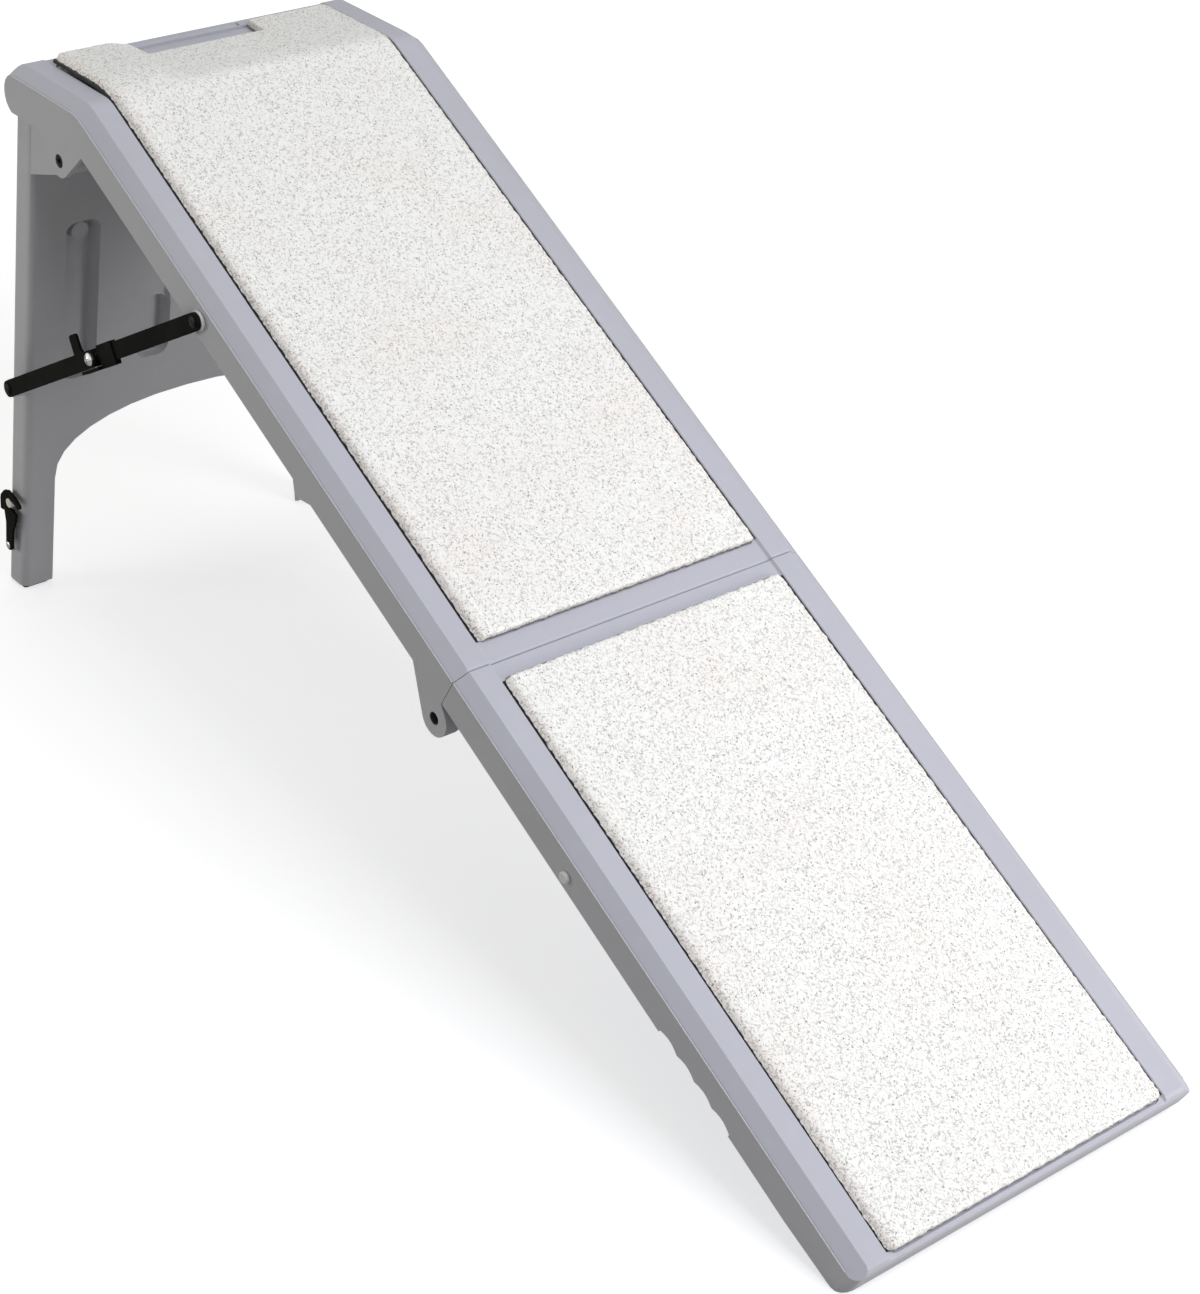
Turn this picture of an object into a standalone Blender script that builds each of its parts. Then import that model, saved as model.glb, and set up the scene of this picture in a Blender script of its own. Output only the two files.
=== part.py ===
"""Folding pet ramp: two moulded deck panels, an arched leg frame, folding braces and a travel latch.

Units are metres, +Z is up and +X points down the ramp. The side with the latch is near (-Y).
"""
import math

import bmesh
import bpy
from mathutils import Matrix, Vector

# Overall form
WIDTH = 0.406
PLATFORM_LENGTH = 0.127
UPPER_LENGTH = 0.6939
LOWER_LENGTH = 0.6127
SLOPE = math.radians(26.84)
BEND_RADIUS = 0.025
BODY_BEND_STEPS = 3
CUTTER_BEND_STEPS = 4
POCKET_BEND_STEPS = 7
MAT_BEND_STEPS = 5
SEAM_GAP = 0.0006
SEAT_GAP = 0.0003

# Cross-section of both panels, measured from the parting plane of the moulding
BEVEL_WIDTH = 0.014
RAIL_HEIGHT = 0.010
RAIL_WIDTH = 0.0228
CHANNEL_DEPTH = 0.0025
CHANNEL_DRAFT = 0.002
WALL_DEPTH = 0.033
PLATFORM_DEPTH = 0.039
BEVEL_SPILL = 0.2
OVERRUN = 0.02
CUT_SPARE = 0.001

# Mats and the shallow pockets that hold them
MAT_HALF_WIDTH = 0.161
MAT_THICKNESS = 0.009
MAT_MARGIN = 0.002
MAT_POCKET_DEPTH = 0.0025
MAT_CORNER = 0.006
MAT_TOE_GAP = 0.008
MAT_SEAM_GAP_LOWER = 0.0177
MAT_SEAM_GAP_UPPER = 0.0243
MAT_REAR_GAP = 0.018
MAT_LIFT = 0.006
MAT_BEND_RADIUS = 0.090
NOTCH_DEPTH = 0.026
NOTCH_CORNER = 0.008
NOTCH_NEAR = -0.080
NOTCH_FAR = 0.064

# Underside pockets
SKIN = 0.005
POCKET_FIELD_HALF = 0.145
POCKET_RIB = 0.010
POCKET_COLUMNS = 3
POCKET_ROWS_UPPER = 6
POCKET_ROWS_LOWER = 5
POCKET_TAPER = 0.005
POCKET_MOUTH = 0.004
POCKET_CORNER = 0.014
POCKET_CORNER_STEPS = 3
POCKET_END_UPPER_LOW = 0.042
POCKET_END_UPPER_HIGH = 0.048
POCKET_END_LOWER_LOW = 0.044
POCKET_END_LOWER_HIGH = 0.042
PLATFORM_POCKET_REAR = 0.038
PLATFORM_POCKET_FRONT = 0.112

# Rounded rear nose and its finger groove
NOSE_INSET = 0.0092
NOSE_DROP = 0.0194
NOSE_TOP_RADIUS = 0.006
NOSE_STEPS = 8
GROOVE_INSET = 0.009
GROOVE_RADIUS = 0.0045
GROOVE_SINK = 0.0015
GROOVE_MARGIN = 0.006

# Low end
TOE_RADIUS = 0.018
TOE_DEPTH = 0.030
TOE_TOP_RADIUS = 0.008
TOE_CORNER = 0.012
TOE_CORNER_STEPS = 5
TOE_STEP = math.radians(15)
TOE_BLEND = 0.060
STRIP_PROUD = 0.0005
STRIP_THICKNESS = 0.0032
STRIP_HALF_WIDTH = 0.186
STRIP_BACK_STEPS = 2
STRIP_FRONT_STEPS = 3

# Finger scallops and lug on the lower edges of the side walls
GRIP_START = 0.1596
GRIP_PITCH = 0.0261
GRIP_COUNT = 4
GRIP_STEPS = 5
GRIP_RIDGE = 0.0303
GRIP_VALLEY = 0.0268
GRIP_DEPTH_INTO_PANEL = 0.033
BUMP_FROM_SEAM = 0.2295
BUMP_LENGTH = 0.0324
BUMP_TOP_START = 0.0167
BUMP_TOP_LENGTH = 0.0069
BUMP_HEIGHT = 0.011
BUMP_WIDTH = 0.018

# Middle hinge
MID_PIVOT_DROP = 0.057
MID_EAR_RADIUS = 0.018
MID_EAR_THICKNESS = 0.016
MID_EAR_REACH = 0.054
MID_EAR_SEAM_GAP = 0.0012
MID_LUG_RADIUS = 0.014
MID_LUG_THICKNESS = 0.032
MID_LUG_REACH = 0.050
MID_SIDE_GAP = 0.001
MID_PIN_RADIUS = 0.006
MID_PIN_RECESS = 0.009
MID_PIN_OVERHANG = 0.001
MID_PIN_CHAMFER = 0.001

# Leg hinge
LEG_PIVOT_INSET = 0.0912
LEG_PIVOT_DROP = 0.059
LEG_EAR_RADIUS = 0.017
LEG_EAR_THICKNESS = 0.006
EAR_STEP = 0.0004
EAR_ROOT = 0.004
EAR_SHOULDER = 0.001
LEG_EAR_REAR = 0.0543
LEG_EAR_FRONT = 0.1618
LEG_BOLT_RADIUS = 0.004
LEG_BOLT_HEAD_RADIUS = 0.0062
LEG_BOLT_HEAD = 0.003
LEG_BOLT_CHAMFER = 0.0006
LEG_BOLT_TAIL = 0.002
LEG_SOCKET_DEPTH = 0.002
LEG_BOLT_SOCKET = 0.0028
SOCKET_RADIUS = 0.007
SOCKET_DEPTH = 0.0038
LEG_NUT_RADIUS = 0.0075
LEG_NUT_THICKNESS = 0.006
PIN_CLEARANCE = 0.0004

# Leg frame, measured from the leg hinge: down the leg, and forward of it
LEG_LEAN = math.radians(7.165)
LEG_INSET = 0.005
LEG_FRONT = -0.0605
LEG_THICKNESS = 0.035
LEG_POST_WIDTH = 0.036
LEG_CORNER = 0.009
LEG_CORNER_STEPS = 3
LEG_TOP_CORNER = 0.013
ARCH_CROWN = 0.3515
ARCH_SPRING = 0.425
ARCH_EXPONENT = 2.3
ARCH_STEPS = 16
ARCH_DRAFT = 0.022
ARCH_CROWN_DRAFT = 0.006
ARM_INNER = 0.160
ARM_SIDE_GAP = 0.0005
ARM_RADIUS = 0.015
ARM_GUSSET = 0.051
ARM_ROOT = 0.010
ARM_ROOT_TOP = 0.009
PAD_THICKNESS = 0.0027
PAD_MARGIN = 0.003
PAD_CORNER = 0.003

# Front recesses of the leg frame
RECESS_WIDTH = 0.040
RECESS_DEPTH = 0.016
RECESS_TOP = 0.114
RECESS_BOTTOM = 0.302
RECESS_OUTER = 0.136
RECESS_INNER = 0.046
RECESS_INNER_TOP = 0.100
RECESS_INNER_STEP = 0.228
RECESS_INNER_SHALLOW = 0.006
RECESS_TAPER = 0.004
RECESS_MOUTH = 0.004
RECESS_CORNER = 0.010
RECESS_BOSS_DROP = 0.0145
RECESS_BOSS_RADIUS = 0.0115
RECESS_BOSS_HEIGHT = 0.009
RECESS_BOSS_ROOT = 0.001
RECESS_BOSS_TAPER = 0.0015

# Folding braces
BAR_WIDTH = 0.018
BAR_THICKNESS = 0.003
BAR_END_STEPS = 8
BRACE_LEG_DOWN = 0.301
BRACE_LEG_FORWARD = -0.071
BRACE_RAMP_FROM_BEND = 0.2512
BRACE_RAMP_DROP = 0.0165
LEG_LINK_LENGTH = 0.206
SPACER_THICKNESS = 0.0034
SPACER_RADIUS = 0.0100
WASHER_RADIUS = 0.007
WASHER_THICKNESS = 0.0015
RIVET_RADIUS = 0.003
RIVET_HEAD_RADIUS = 0.006
RIVET_HEAD = 0.002
RIVET_GRIP = 0.012
RIVET_DOME = ((1.0, 0.4), (0.8, 0.8), (0.4, 1.0), (0.0, 1.0))
SCREW_HEAD_RADIUS = 0.00675
SCREW_HEAD = 0.0045
SCREW_TAIL_RADIUS = 0.0055
SCREW_TAIL = 0.0028
SCREW_TAIL_CHAMFER = 0.0008
SCREW_DOME = ((1.0, 0.4), (0.82, 0.78), (0.45, 1.0), (0.0, 1.0))
CROSS_LENGTH_SHARE = 0.6
CROSS_WIDTH_SHARE = 0.14
CROSS_BOTTOM_SHARE = 0.45
TAB_CENTRE = 0.024
TAB_WIDTH = 0.016
TAB_HEIGHT = 0.020
TAB_CORNER = 0.0035
SLEEVE_START = 0.013
SLEEVE_END = 0.044
SLEEVE_WALL = 0.0015
SLEEVE_SLOT_SPARE = 0.004
LIP_START = -0.027
LIP_OUTER_END = 0.012
LIP_THICKNESS = 0.004
LIP_STEP = 0.0002

# Travel latch
HOOK_PIVOT_DOWN = 0.5115
HOOK_PIVOT_FORWARD = -0.0795
HOOK_REACH = 0.055
HOOK_LEAN_BACK = 0.0019
HOOK_THICKNESS = 0.0032
HOOK_WALL_GAP = 0.0005
HOOK_END_RADIUS = 0.006
HOOK_PIVOT_BOSS_RADIUS = 0.007
STUD_RADIUS = 0.0055
STUD_CLEARANCE = 0.0003
STUD_PROUD = 0.0005
STUD_CHAMFER = 0.0006
PANEL_STUD_DROP = 0.020
LATCH_SCREW_RADIUS = 0.0022
LATCH_SCREW_HEAD_RADIUS = 0.004
LATCH_SCREW_HEAD = 0.0015
LATCH_SCREW_GRIP = 0.010
LATCH_SCREW_SPARE = 0.001
LATCH_BOSS_ROOT = 0.004

ROUND_STEPS = 24
HALF = WIDTH / 2
SEAM = LOWER_LENGTH
BEND = LOWER_LENGTH + UPPER_LENGTH
CHANNEL_FLOOR = RAIL_HEIGHT - CHANNEL_DEPTH
MAT_FLOOR = CHANNEL_FLOOR - MAT_POCKET_DEPTH
RAIL_INNER = HALF - BEVEL_WIDTH - RAIL_WIDTH
FLOOR_REACH = (TOE_RADIUS + STRIP_PROUD) * math.cos(TOE_STEP / 2)
PARTING_AT_TOE = (
    (TOE_DEPTH - TOE_RADIUS) * math.cos(SLOPE) - TOE_RADIUS * math.sin(SLOPE) + FLOOR_REACH
)
PLATFORM_LEVEL = PARTING_AT_TOE + BEND * math.sin(SLOPE)
BEND_X = -BEND * math.cos(SLOPE)
REAR_X = BEND_X - PLATFORM_LENGTH


def deck(along, height):
    """Point (x, z) of the sloping deck: distance up from the low end, height above the parting plane."""
    x = -along * math.cos(SLOPE) + height * math.sin(SLOPE)
    z = PARTING_AT_TOE + along * math.sin(SLOPE) + height * math.cos(SLOPE)
    return (x, z)


def level(inset, height):
    """Point (x, z) of the level platform: distance from its rear edge, height above the parting plane."""
    return (REAR_X + inset, PLATFORM_LEVEL + height)


def deck_place(point):
    """Distance up from the low end and height above the parting plane of a point (x, z)."""
    x = point[0]
    z = point[1] - PARTING_AT_TOE
    return (-x * math.cos(SLOPE) + z * math.sin(SLOPE), x * math.sin(SLOPE) + z * math.cos(SLOPE))


LEG_PIVOT = level(LEG_PIVOT_INSET, -LEG_PIVOT_DROP)
MID_PIVOT = deck(SEAM, -MID_PIVOT_DROP)


def leg(down, forward):
    """Point (x, z) of the leg frame: distance down the leg from its hinge, distance forward of it."""
    x = LEG_PIVOT[0] - down * math.sin(LEG_LEAN) + forward * math.cos(LEG_LEAN)
    z = LEG_PIVOT[1] - down * math.cos(LEG_LEAN) - forward * math.sin(LEG_LEAN)
    return (x, z)


def leg_down_at(height, forward):
    """Distance down the leg at which its point that far forward stands at a height above the floor."""
    return (LEG_PIVOT[1] - forward * math.sin(LEG_LEAN) - height) / math.cos(LEG_LEAN)


def arc(centre, radius, start, end, steps):
    """Points on an arc from one angle to another, in radians."""
    points = []
    for step in range(steps + 1):
        angle = start + (end - start) * step / steps
        points.append((centre[0] + radius * math.cos(angle), centre[1] + radius * math.sin(angle)))
    return points


def tangent_angle(centre, radius, point, turn):
    """Angle of the tangent point on a circle for a line through an outside point."""
    offset_x = point[0] - centre[0]
    offset_y = point[1] - centre[1]
    distance = math.hypot(offset_x, offset_y)
    return math.atan2(offset_y, offset_x) + turn * math.acos(radius / distance)


def remove_old_objects():
    """Empty the scene."""
    for item in list(bpy.data.objects):
        bpy.data.objects.remove(item, do_unlink=True)


def make_material(name, colour, roughness, metallic=0.0):
    """Principled material."""
    material = bpy.data.materials.new(name)
    material.use_nodes = True
    shader = material.node_tree.nodes["Principled BSDF"]
    shader.inputs["Base Color"].default_value = (*colour, 1.0)
    shader.inputs["Roughness"].default_value = roughness
    shader.inputs["Metallic"].default_value = metallic
    material.diffuse_color = (*colour, 1.0)
    return material


def add_object(name, bm, material=None, origin=(0.0, 0.0, 0.0), smooth=False):
    """Link a mesh object whose origin lies at the given point of the ramp's frame."""
    bm.normal_update()
    bmesh.ops.recalc_face_normals(bm, faces=bm.faces)
    bm.transform(Matrix.Translation(-Vector(origin)))
    mesh = bpy.data.meshes.new(name)
    bm.to_mesh(mesh)
    bm.free()
    if smooth:
        mesh.shade_smooth()
        mesh.set_sharp_from_angle(angle=math.radians(40))
    item = bpy.data.objects.new(name, mesh)
    bpy.context.scene.collection.objects.link(item)
    item.location = origin
    if material:
        mesh.materials.append(material)
    return item


def boolean(target, name, bm, operation):
    """Add a Boolean modifier that cuts or joins a helper shape, which stays hidden."""
    helper = add_object(target.name + "_" + name, bm)
    helper.hide_render = True
    helper.display_type = "WIRE"
    modifier = target.modifiers.new(name, "BOOLEAN")
    modifier.operation = operation
    modifier.solver = "EXACT"
    modifier.object = helper
    return helper


def cut(target, name, bm):
    """Cut a shape out of an object."""
    return boolean(target, name, bm, "DIFFERENCE")


def join(target, name, bm):
    """Join a shape to an object."""
    return boolean(target, name, bm, "UNION")


def prism(outline, low, high):
    """Closed prism over an outline of (x, z) points, between two values of y."""
    bm = bmesh.new()
    base = [bm.verts.new((x, low, z)) for x, z in outline]
    face = bm.faces.new(base)
    result = bmesh.ops.extrude_face_region(bm, geom=[face])
    moved = [item for item in result["geom"] if isinstance(item, bmesh.types.BMVert)]
    bmesh.ops.translate(bm, verts=moved, vec=(0.0, high - low, 0.0))
    bmesh.ops.recalc_face_normals(bm, faces=bm.faces)
    return bm


def side_prism(outline, side, inner, outer):
    """Prism on one side of the ramp, between two distances from its middle plane."""
    return prism(outline, side * inner, side * outer)


def merged(meshes):
    """One bmesh that holds several closed shapes."""
    whole = bmesh.new()
    for bm in meshes:
        mesh = bpy.data.meshes.new("joined")
        bm.to_mesh(mesh)
        bm.free()
        whole.from_mesh(mesh)
        bpy.data.meshes.remove(mesh)
    return whole


def lofted(rings):
    """Closed solid through rings of (x, y, z) points; also gives the vertices of each ring."""
    bm = bmesh.new()
    loops = [[bm.verts.new(point) for point in ring] for ring in rings]
    for first, second in zip(loops, loops[1:]):
        for index, vert in enumerate(first):
            after = (index + 1) % len(first)
            bm.faces.new((vert, first[after], second[after], second[index]))
    bm.faces.new(loops[0])
    bm.faces.new(loops[-1])
    bmesh.ops.recalc_face_normals(bm, faces=bm.faces)
    return bm, loops


def swept(section, line):
    """Closed sweep of a section of (y, height) points; line(height) gives the run of (x, z) points."""
    runs = [line(height) for _, height in section]
    rings = []
    for station in range(len(runs[0])):
        rings.append([(run[station][0], y, run[station][1]) for (y, _), run in zip(section, runs)])
    return lofted(rings)[0]


def plan_prism(outline, place, low, high):
    """Closed prism over an outline of (along, y) points; place maps (along, height) to (x, z)."""
    rings = []
    for height in (low, high):
        ring = []
        for along, y in outline:
            x, z = place(along, height)
            ring.append((x, y, z))
        rings.append(ring)
    return lofted(rings)[0]


def cylinder(centre, radius, low, high, steps=ROUND_STEPS):
    """Closed cylinder along Y."""
    half_step = math.pi / steps
    outline = arc(centre, radius, half_step, half_step + 2 * math.pi, steps)[:-1]
    return prism(outline, low, high)


def turned(centre, profile, side, steps=ROUND_STEPS):
    """Turned solid about a line along Y; the profile holds (radius, distance from the middle plane)."""
    bm = bmesh.new()
    points = []
    for radius, outward in profile:
        points.append(bm.verts.new((centre[0] + radius, side * outward, centre[1])))
    edges = [bm.edges.new(pair) for pair in zip(points, points[1:])]
    bmesh.ops.spin(
        bm, geom=points + edges, cent=(centre[0], 0.0, centre[1]), axis=(0.0, 1.0, 0.0),
        angle=2 * math.pi, steps=steps, use_merge=True,
    )
    bmesh.ops.remove_doubles(bm, verts=bm.verts, dist=0.000001)
    bmesh.ops.recalc_face_normals(bm, faces=bm.faces)
    return bm


def bevel_edges(bm, width, steps, wanted):
    """Round the edges that a test accepts."""
    edges = [edge for edge in bm.edges if wanted(edge)]
    bmesh.ops.bevel(
        bm, geom=edges, offset=width, offset_type="OFFSET", segments=steps, profile=0.5,
        affect="EDGES", clamp_overlap=True, material=-1,
    )


def upper_line(height, rear_inset, seam_along, bend_steps):
    """Run of the upper panel at a height above its parting plane, round the bend, rear end first."""
    shortening = BEND_RADIUS * math.tan(SLOPE / 2)
    centre = (BEND_X - shortening, PLATFORM_LEVEL - BEND_RADIUS)
    points = [level(rear_inset, height)]
    points += arc(centre, BEND_RADIUS + height, math.pi / 2, math.pi / 2 - SLOPE, bend_steps)
    points.append(deck(seam_along, height))
    return points


def lower_line(height, high_end, low_end):
    """Run of the lower panel at a height above its parting plane, upper end first."""
    return [deck(high_end, height), deck(low_end, height)]


def cut_top_form(panel, line):
    """Bevel the outer edges and sink the channel between the rails."""
    for side, name in ((-1, "near_bevel"), (1, "far_bevel")):
        low = (side * (HALF + BEVEL_SPILL * BEVEL_WIDTH), -BEVEL_SPILL * RAIL_HEIGHT)
        high = (side * (HALF - BEVEL_WIDTH * (1 + BEVEL_SPILL)), RAIL_HEIGHT * (1 + BEVEL_SPILL))
        corner = (side * (HALF + BEVEL_SPILL * BEVEL_WIDTH), RAIL_HEIGHT * (1 + BEVEL_SPILL))
        cut(panel, name, swept([low, high, corner], line))
    slope_out = CHANNEL_DRAFT / CHANNEL_DEPTH
    floor_half = RAIL_INNER - CHANNEL_DRAFT
    top_half = floor_half + slope_out * 2 * CHANNEL_DEPTH
    section = [
        (-floor_half, CHANNEL_FLOOR), (floor_half, CHANNEL_FLOOR),
        (top_half, CHANNEL_FLOOR + 2 * CHANNEL_DEPTH), (-top_half, CHANNEL_FLOOR + 2 * CHANNEL_DEPTH),
    ]
    cut(panel, "channel", swept(section, line))


def slab(line, half_width, floor, top, corner):
    """Flat slab along a run, with rounded corners at its ends."""
    section = [(-half_width, floor), (half_width, floor), (half_width, top), (-half_width, top)]
    bm = swept(section, line)
    thickness = top - floor

    def upright(edge):
        sharp = len(edge.link_faces) == 2 and edge.calc_face_angle() > math.radians(60)
        return sharp and abs(edge.calc_length() - thickness) < 0.0001

    bevel_edges(bm, corner, 3, upright)
    return bm


def upper_mat_pocket(margin, floor, top, bend_steps):
    """Pocket round the upper mat."""

    def line(height):
        seam_end = SEAM + MAT_SEAM_GAP_UPPER - margin
        return upper_line(height, MAT_REAR_GAP - margin, seam_end, bend_steps)

    return slab(line, MAT_HALF_WIDTH + margin, floor, top, MAT_CORNER + margin)


def mat_line(height):
    """Run of the upper mat: it bends wider than the panel, so that its rear part stands off the platform."""
    centre_z = PLATFORM_LEVEL + MAT_LIFT - MAT_BEND_RADIUS
    centre = deck((centre_z - deck(0.0, -MAT_BEND_RADIUS)[1]) / math.sin(SLOPE), -MAT_BEND_RADIUS)
    points = [level(MAT_REAR_GAP, height + MAT_LIFT)]
    points += arc(centre, MAT_BEND_RADIUS + height, math.pi / 2, math.pi / 2 - SLOPE, MAT_BEND_STEPS)
    points.append(deck(SEAM + MAT_SEAM_GAP_UPPER, height))
    return points


def lower_mat_shape(margin, floor, top):
    """Lower mat, or the pocket round it when a margin is given."""

    def line(height):
        return lower_line(height, SEAM - MAT_SEAM_GAP_LOWER + margin, MAT_TOE_GAP - margin)

    return slab(line, MAT_HALF_WIDTH + margin, floor, top, MAT_CORNER + margin)


def notch_shape():
    """Cutter of the notch in the rear edge of the upper mat."""
    rear = level(MAT_REAR_GAP - OVERRUN, 0.0)[0]
    front = level(MAT_REAR_GAP + NOTCH_DEPTH, 0.0)[0]
    low = PLATFORM_LEVEL
    high = PLATFORM_LEVEL + MAT_FLOOR + MAT_LIFT + 2 * MAT_THICKNESS
    bm = prism([(rear, low), (front, low), (front, high), (rear, high)], NOTCH_NEAR, NOTCH_FAR)

    def is_upright_corner(edge):
        first, second = edge.verts
        return min(first.co.x, second.co.x) > front - SEAT_GAP and abs(first.co.y - second.co.y) < SEAT_GAP

    bevel_edges(bm, NOTCH_CORNER, 2, is_upright_corner)
    return bm


def pocket(corner_point, along_low, along_high, near, far, mouth, floor):
    """Tapered pocket with rounded corners; corner_point maps (along, height) to (x, z)."""
    rings = []
    for height, taper in ((mouth, 0.0), (floor, POCKET_TAPER)):
        ring = []
        for along, y in (
            (along_low + taper, near + taper), (along_high - taper, near + taper),
            (along_high - taper, far - taper), (along_low + taper, far - taper),
        ):
            x, z = corner_point(along, height)
            ring.append((x, y, z))
        rings.append(ring)
    bm, loops = lofted(rings)
    mouth_verts = set(loops[0])
    bevel_edges(
        bm, POCKET_CORNER, POCKET_CORNER_STEPS,
        lambda edge: (edge.verts[0] in mouth_verts) != (edge.verts[1] in mouth_verts),
    )
    return bm


def pocket_field(corner_point, along_low, along_high, rows, depth):
    """Grid of pockets between two places along a panel."""
    pockets = []
    pitch_y = (2 * POCKET_FIELD_HALF + POCKET_RIB) / POCKET_COLUMNS
    pitch_along = (along_high - along_low + POCKET_RIB) / rows
    floor = MAT_FLOOR - SKIN
    for row in range(rows):
        start = along_low + row * pitch_along
        for column in range(POCKET_COLUMNS):
            near = -POCKET_FIELD_HALF + column * pitch_y
            pockets.append(pocket(
                corner_point, start, start + pitch_along - POCKET_RIB,
                near, near + pitch_y - POCKET_RIB, -depth - POCKET_MOUTH, floor,
            ))
    return pockets


def upper_outline():
    """Side view of the upper panel without its ears."""
    nose_centre = level(NOSE_INSET, -NOSE_DROP)
    nose_radius = math.hypot(NOSE_INSET, NOSE_DROP)
    top_centre = level(NOSE_TOP_RADIUS, RAIL_HEIGHT - NOSE_TOP_RADIUS)
    nose_start = math.pi - math.atan2(NOSE_DROP, NOSE_INSET)
    nose_end = math.pi + math.asin((PLATFORM_DEPTH - NOSE_DROP) / nose_radius)
    inner_corner = BEND - (PLATFORM_DEPTH - WALL_DEPTH * math.cos(SLOPE)) / math.sin(SLOPE)
    points = upper_line(RAIL_HEIGHT, NOSE_TOP_RADIUS, SEAM + SEAM_GAP / 2, BODY_BEND_STEPS)[1:]
    points.append(deck(SEAM + SEAM_GAP / 2, -WALL_DEPTH))
    points.append(deck(inner_corner, -WALL_DEPTH))
    points += reversed(arc(nose_centre, nose_radius, nose_start, nose_end, NOSE_STEPS))
    points += reversed(arc(top_centre, NOSE_TOP_RADIUS, math.pi / 2, math.pi, 3))
    return points


def leg_ear_outline():
    """Ear that hangs from the platform's side wall and carries the leg bolt."""
    rear = level(LEG_EAR_REAR, -PLATFORM_DEPTH)
    front_along = BEND - (LEG_EAR_FRONT - PLATFORM_LENGTH - WALL_DEPTH * math.sin(SLOPE)) / math.cos(SLOPE)
    front = deck(front_along, -WALL_DEPTH)
    start = tangent_angle(LEG_PIVOT, LEG_EAR_RADIUS, rear, 1)
    end = tangent_angle(LEG_PIVOT, LEG_EAR_RADIUS, front, -1) + 2 * math.pi
    points = [level(LEG_EAR_REAR, -PLATFORM_DEPTH + EAR_ROOT), rear]
    points += arc(LEG_PIVOT, LEG_EAR_RADIUS, start, end, 8)
    points.append(deck(front_along - EAR_ROOT, -WALL_DEPTH + EAR_ROOT / 2))
    points.append(level(LEG_EAR_FRONT - 2 * EAR_ROOT, -PLATFORM_DEPTH + EAR_ROOT))
    return points


def bump_outline():
    """Rest lug under the upper side wall."""
    low = SEAM + BUMP_FROM_SEAM
    top = low + BUMP_TOP_START
    return [
        deck(low - EAR_ROOT, -WALL_DEPTH + EAR_ROOT), deck(low, -WALL_DEPTH - EAR_STEP),
        deck(top, -WALL_DEPTH - BUMP_HEIGHT), deck(top + BUMP_TOP_LENGTH, -WALL_DEPTH - BUMP_HEIGHT),
        deck(low + BUMP_LENGTH, -WALL_DEPTH - EAR_STEP), deck(low + BUMP_LENGTH + EAR_ROOT, -WALL_DEPTH + EAR_ROOT),
    ]


def mid_ear_outline():
    """Ear of the middle hinge, under the upper panel's side wall."""
    centre = (SEAM, -MID_PIVOT_DROP)
    seam_side = (SEAM + MID_EAR_SEAM_GAP, -WALL_DEPTH - EAR_SHOULDER)
    reach = (SEAM + MID_EAR_REACH, -WALL_DEPTH + EAR_ROOT)
    start = tangent_angle(centre, MID_EAR_RADIUS, seam_side, 1)
    end = tangent_angle(centre, MID_EAR_RADIUS, reach, -1) + 2 * math.pi
    points = [(seam_side[0], -WALL_DEPTH / 2), seam_side]
    points += arc(centre, MID_EAR_RADIUS, start, end, 12)
    points += [reach, (reach[0], -WALL_DEPTH / 2)]
    return [deck(along, height) for along, height in points]


def mid_lug_outline():
    """Lug of the middle hinge, under the lower panel."""
    centre = (SEAM, -MID_PIVOT_DROP)
    seam_side = (SEAM - MID_EAR_SEAM_GAP, -WALL_DEPTH - EAR_SHOULDER)
    reach = (SEAM - MID_LUG_REACH, -WALL_DEPTH + EAR_ROOT)
    start = tangent_angle(centre, MID_LUG_RADIUS, seam_side, -1)
    end = tangent_angle(centre, MID_LUG_RADIUS, reach, 1) - 2 * math.pi
    points = [(seam_side[0], -WALL_DEPTH / 2), seam_side]
    points += arc(centre, MID_LUG_RADIUS, start, end, 12)
    points += [reach, (reach[0], -WALL_DEPTH / 2)]
    return [deck(along, height) for along, height in points]


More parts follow.
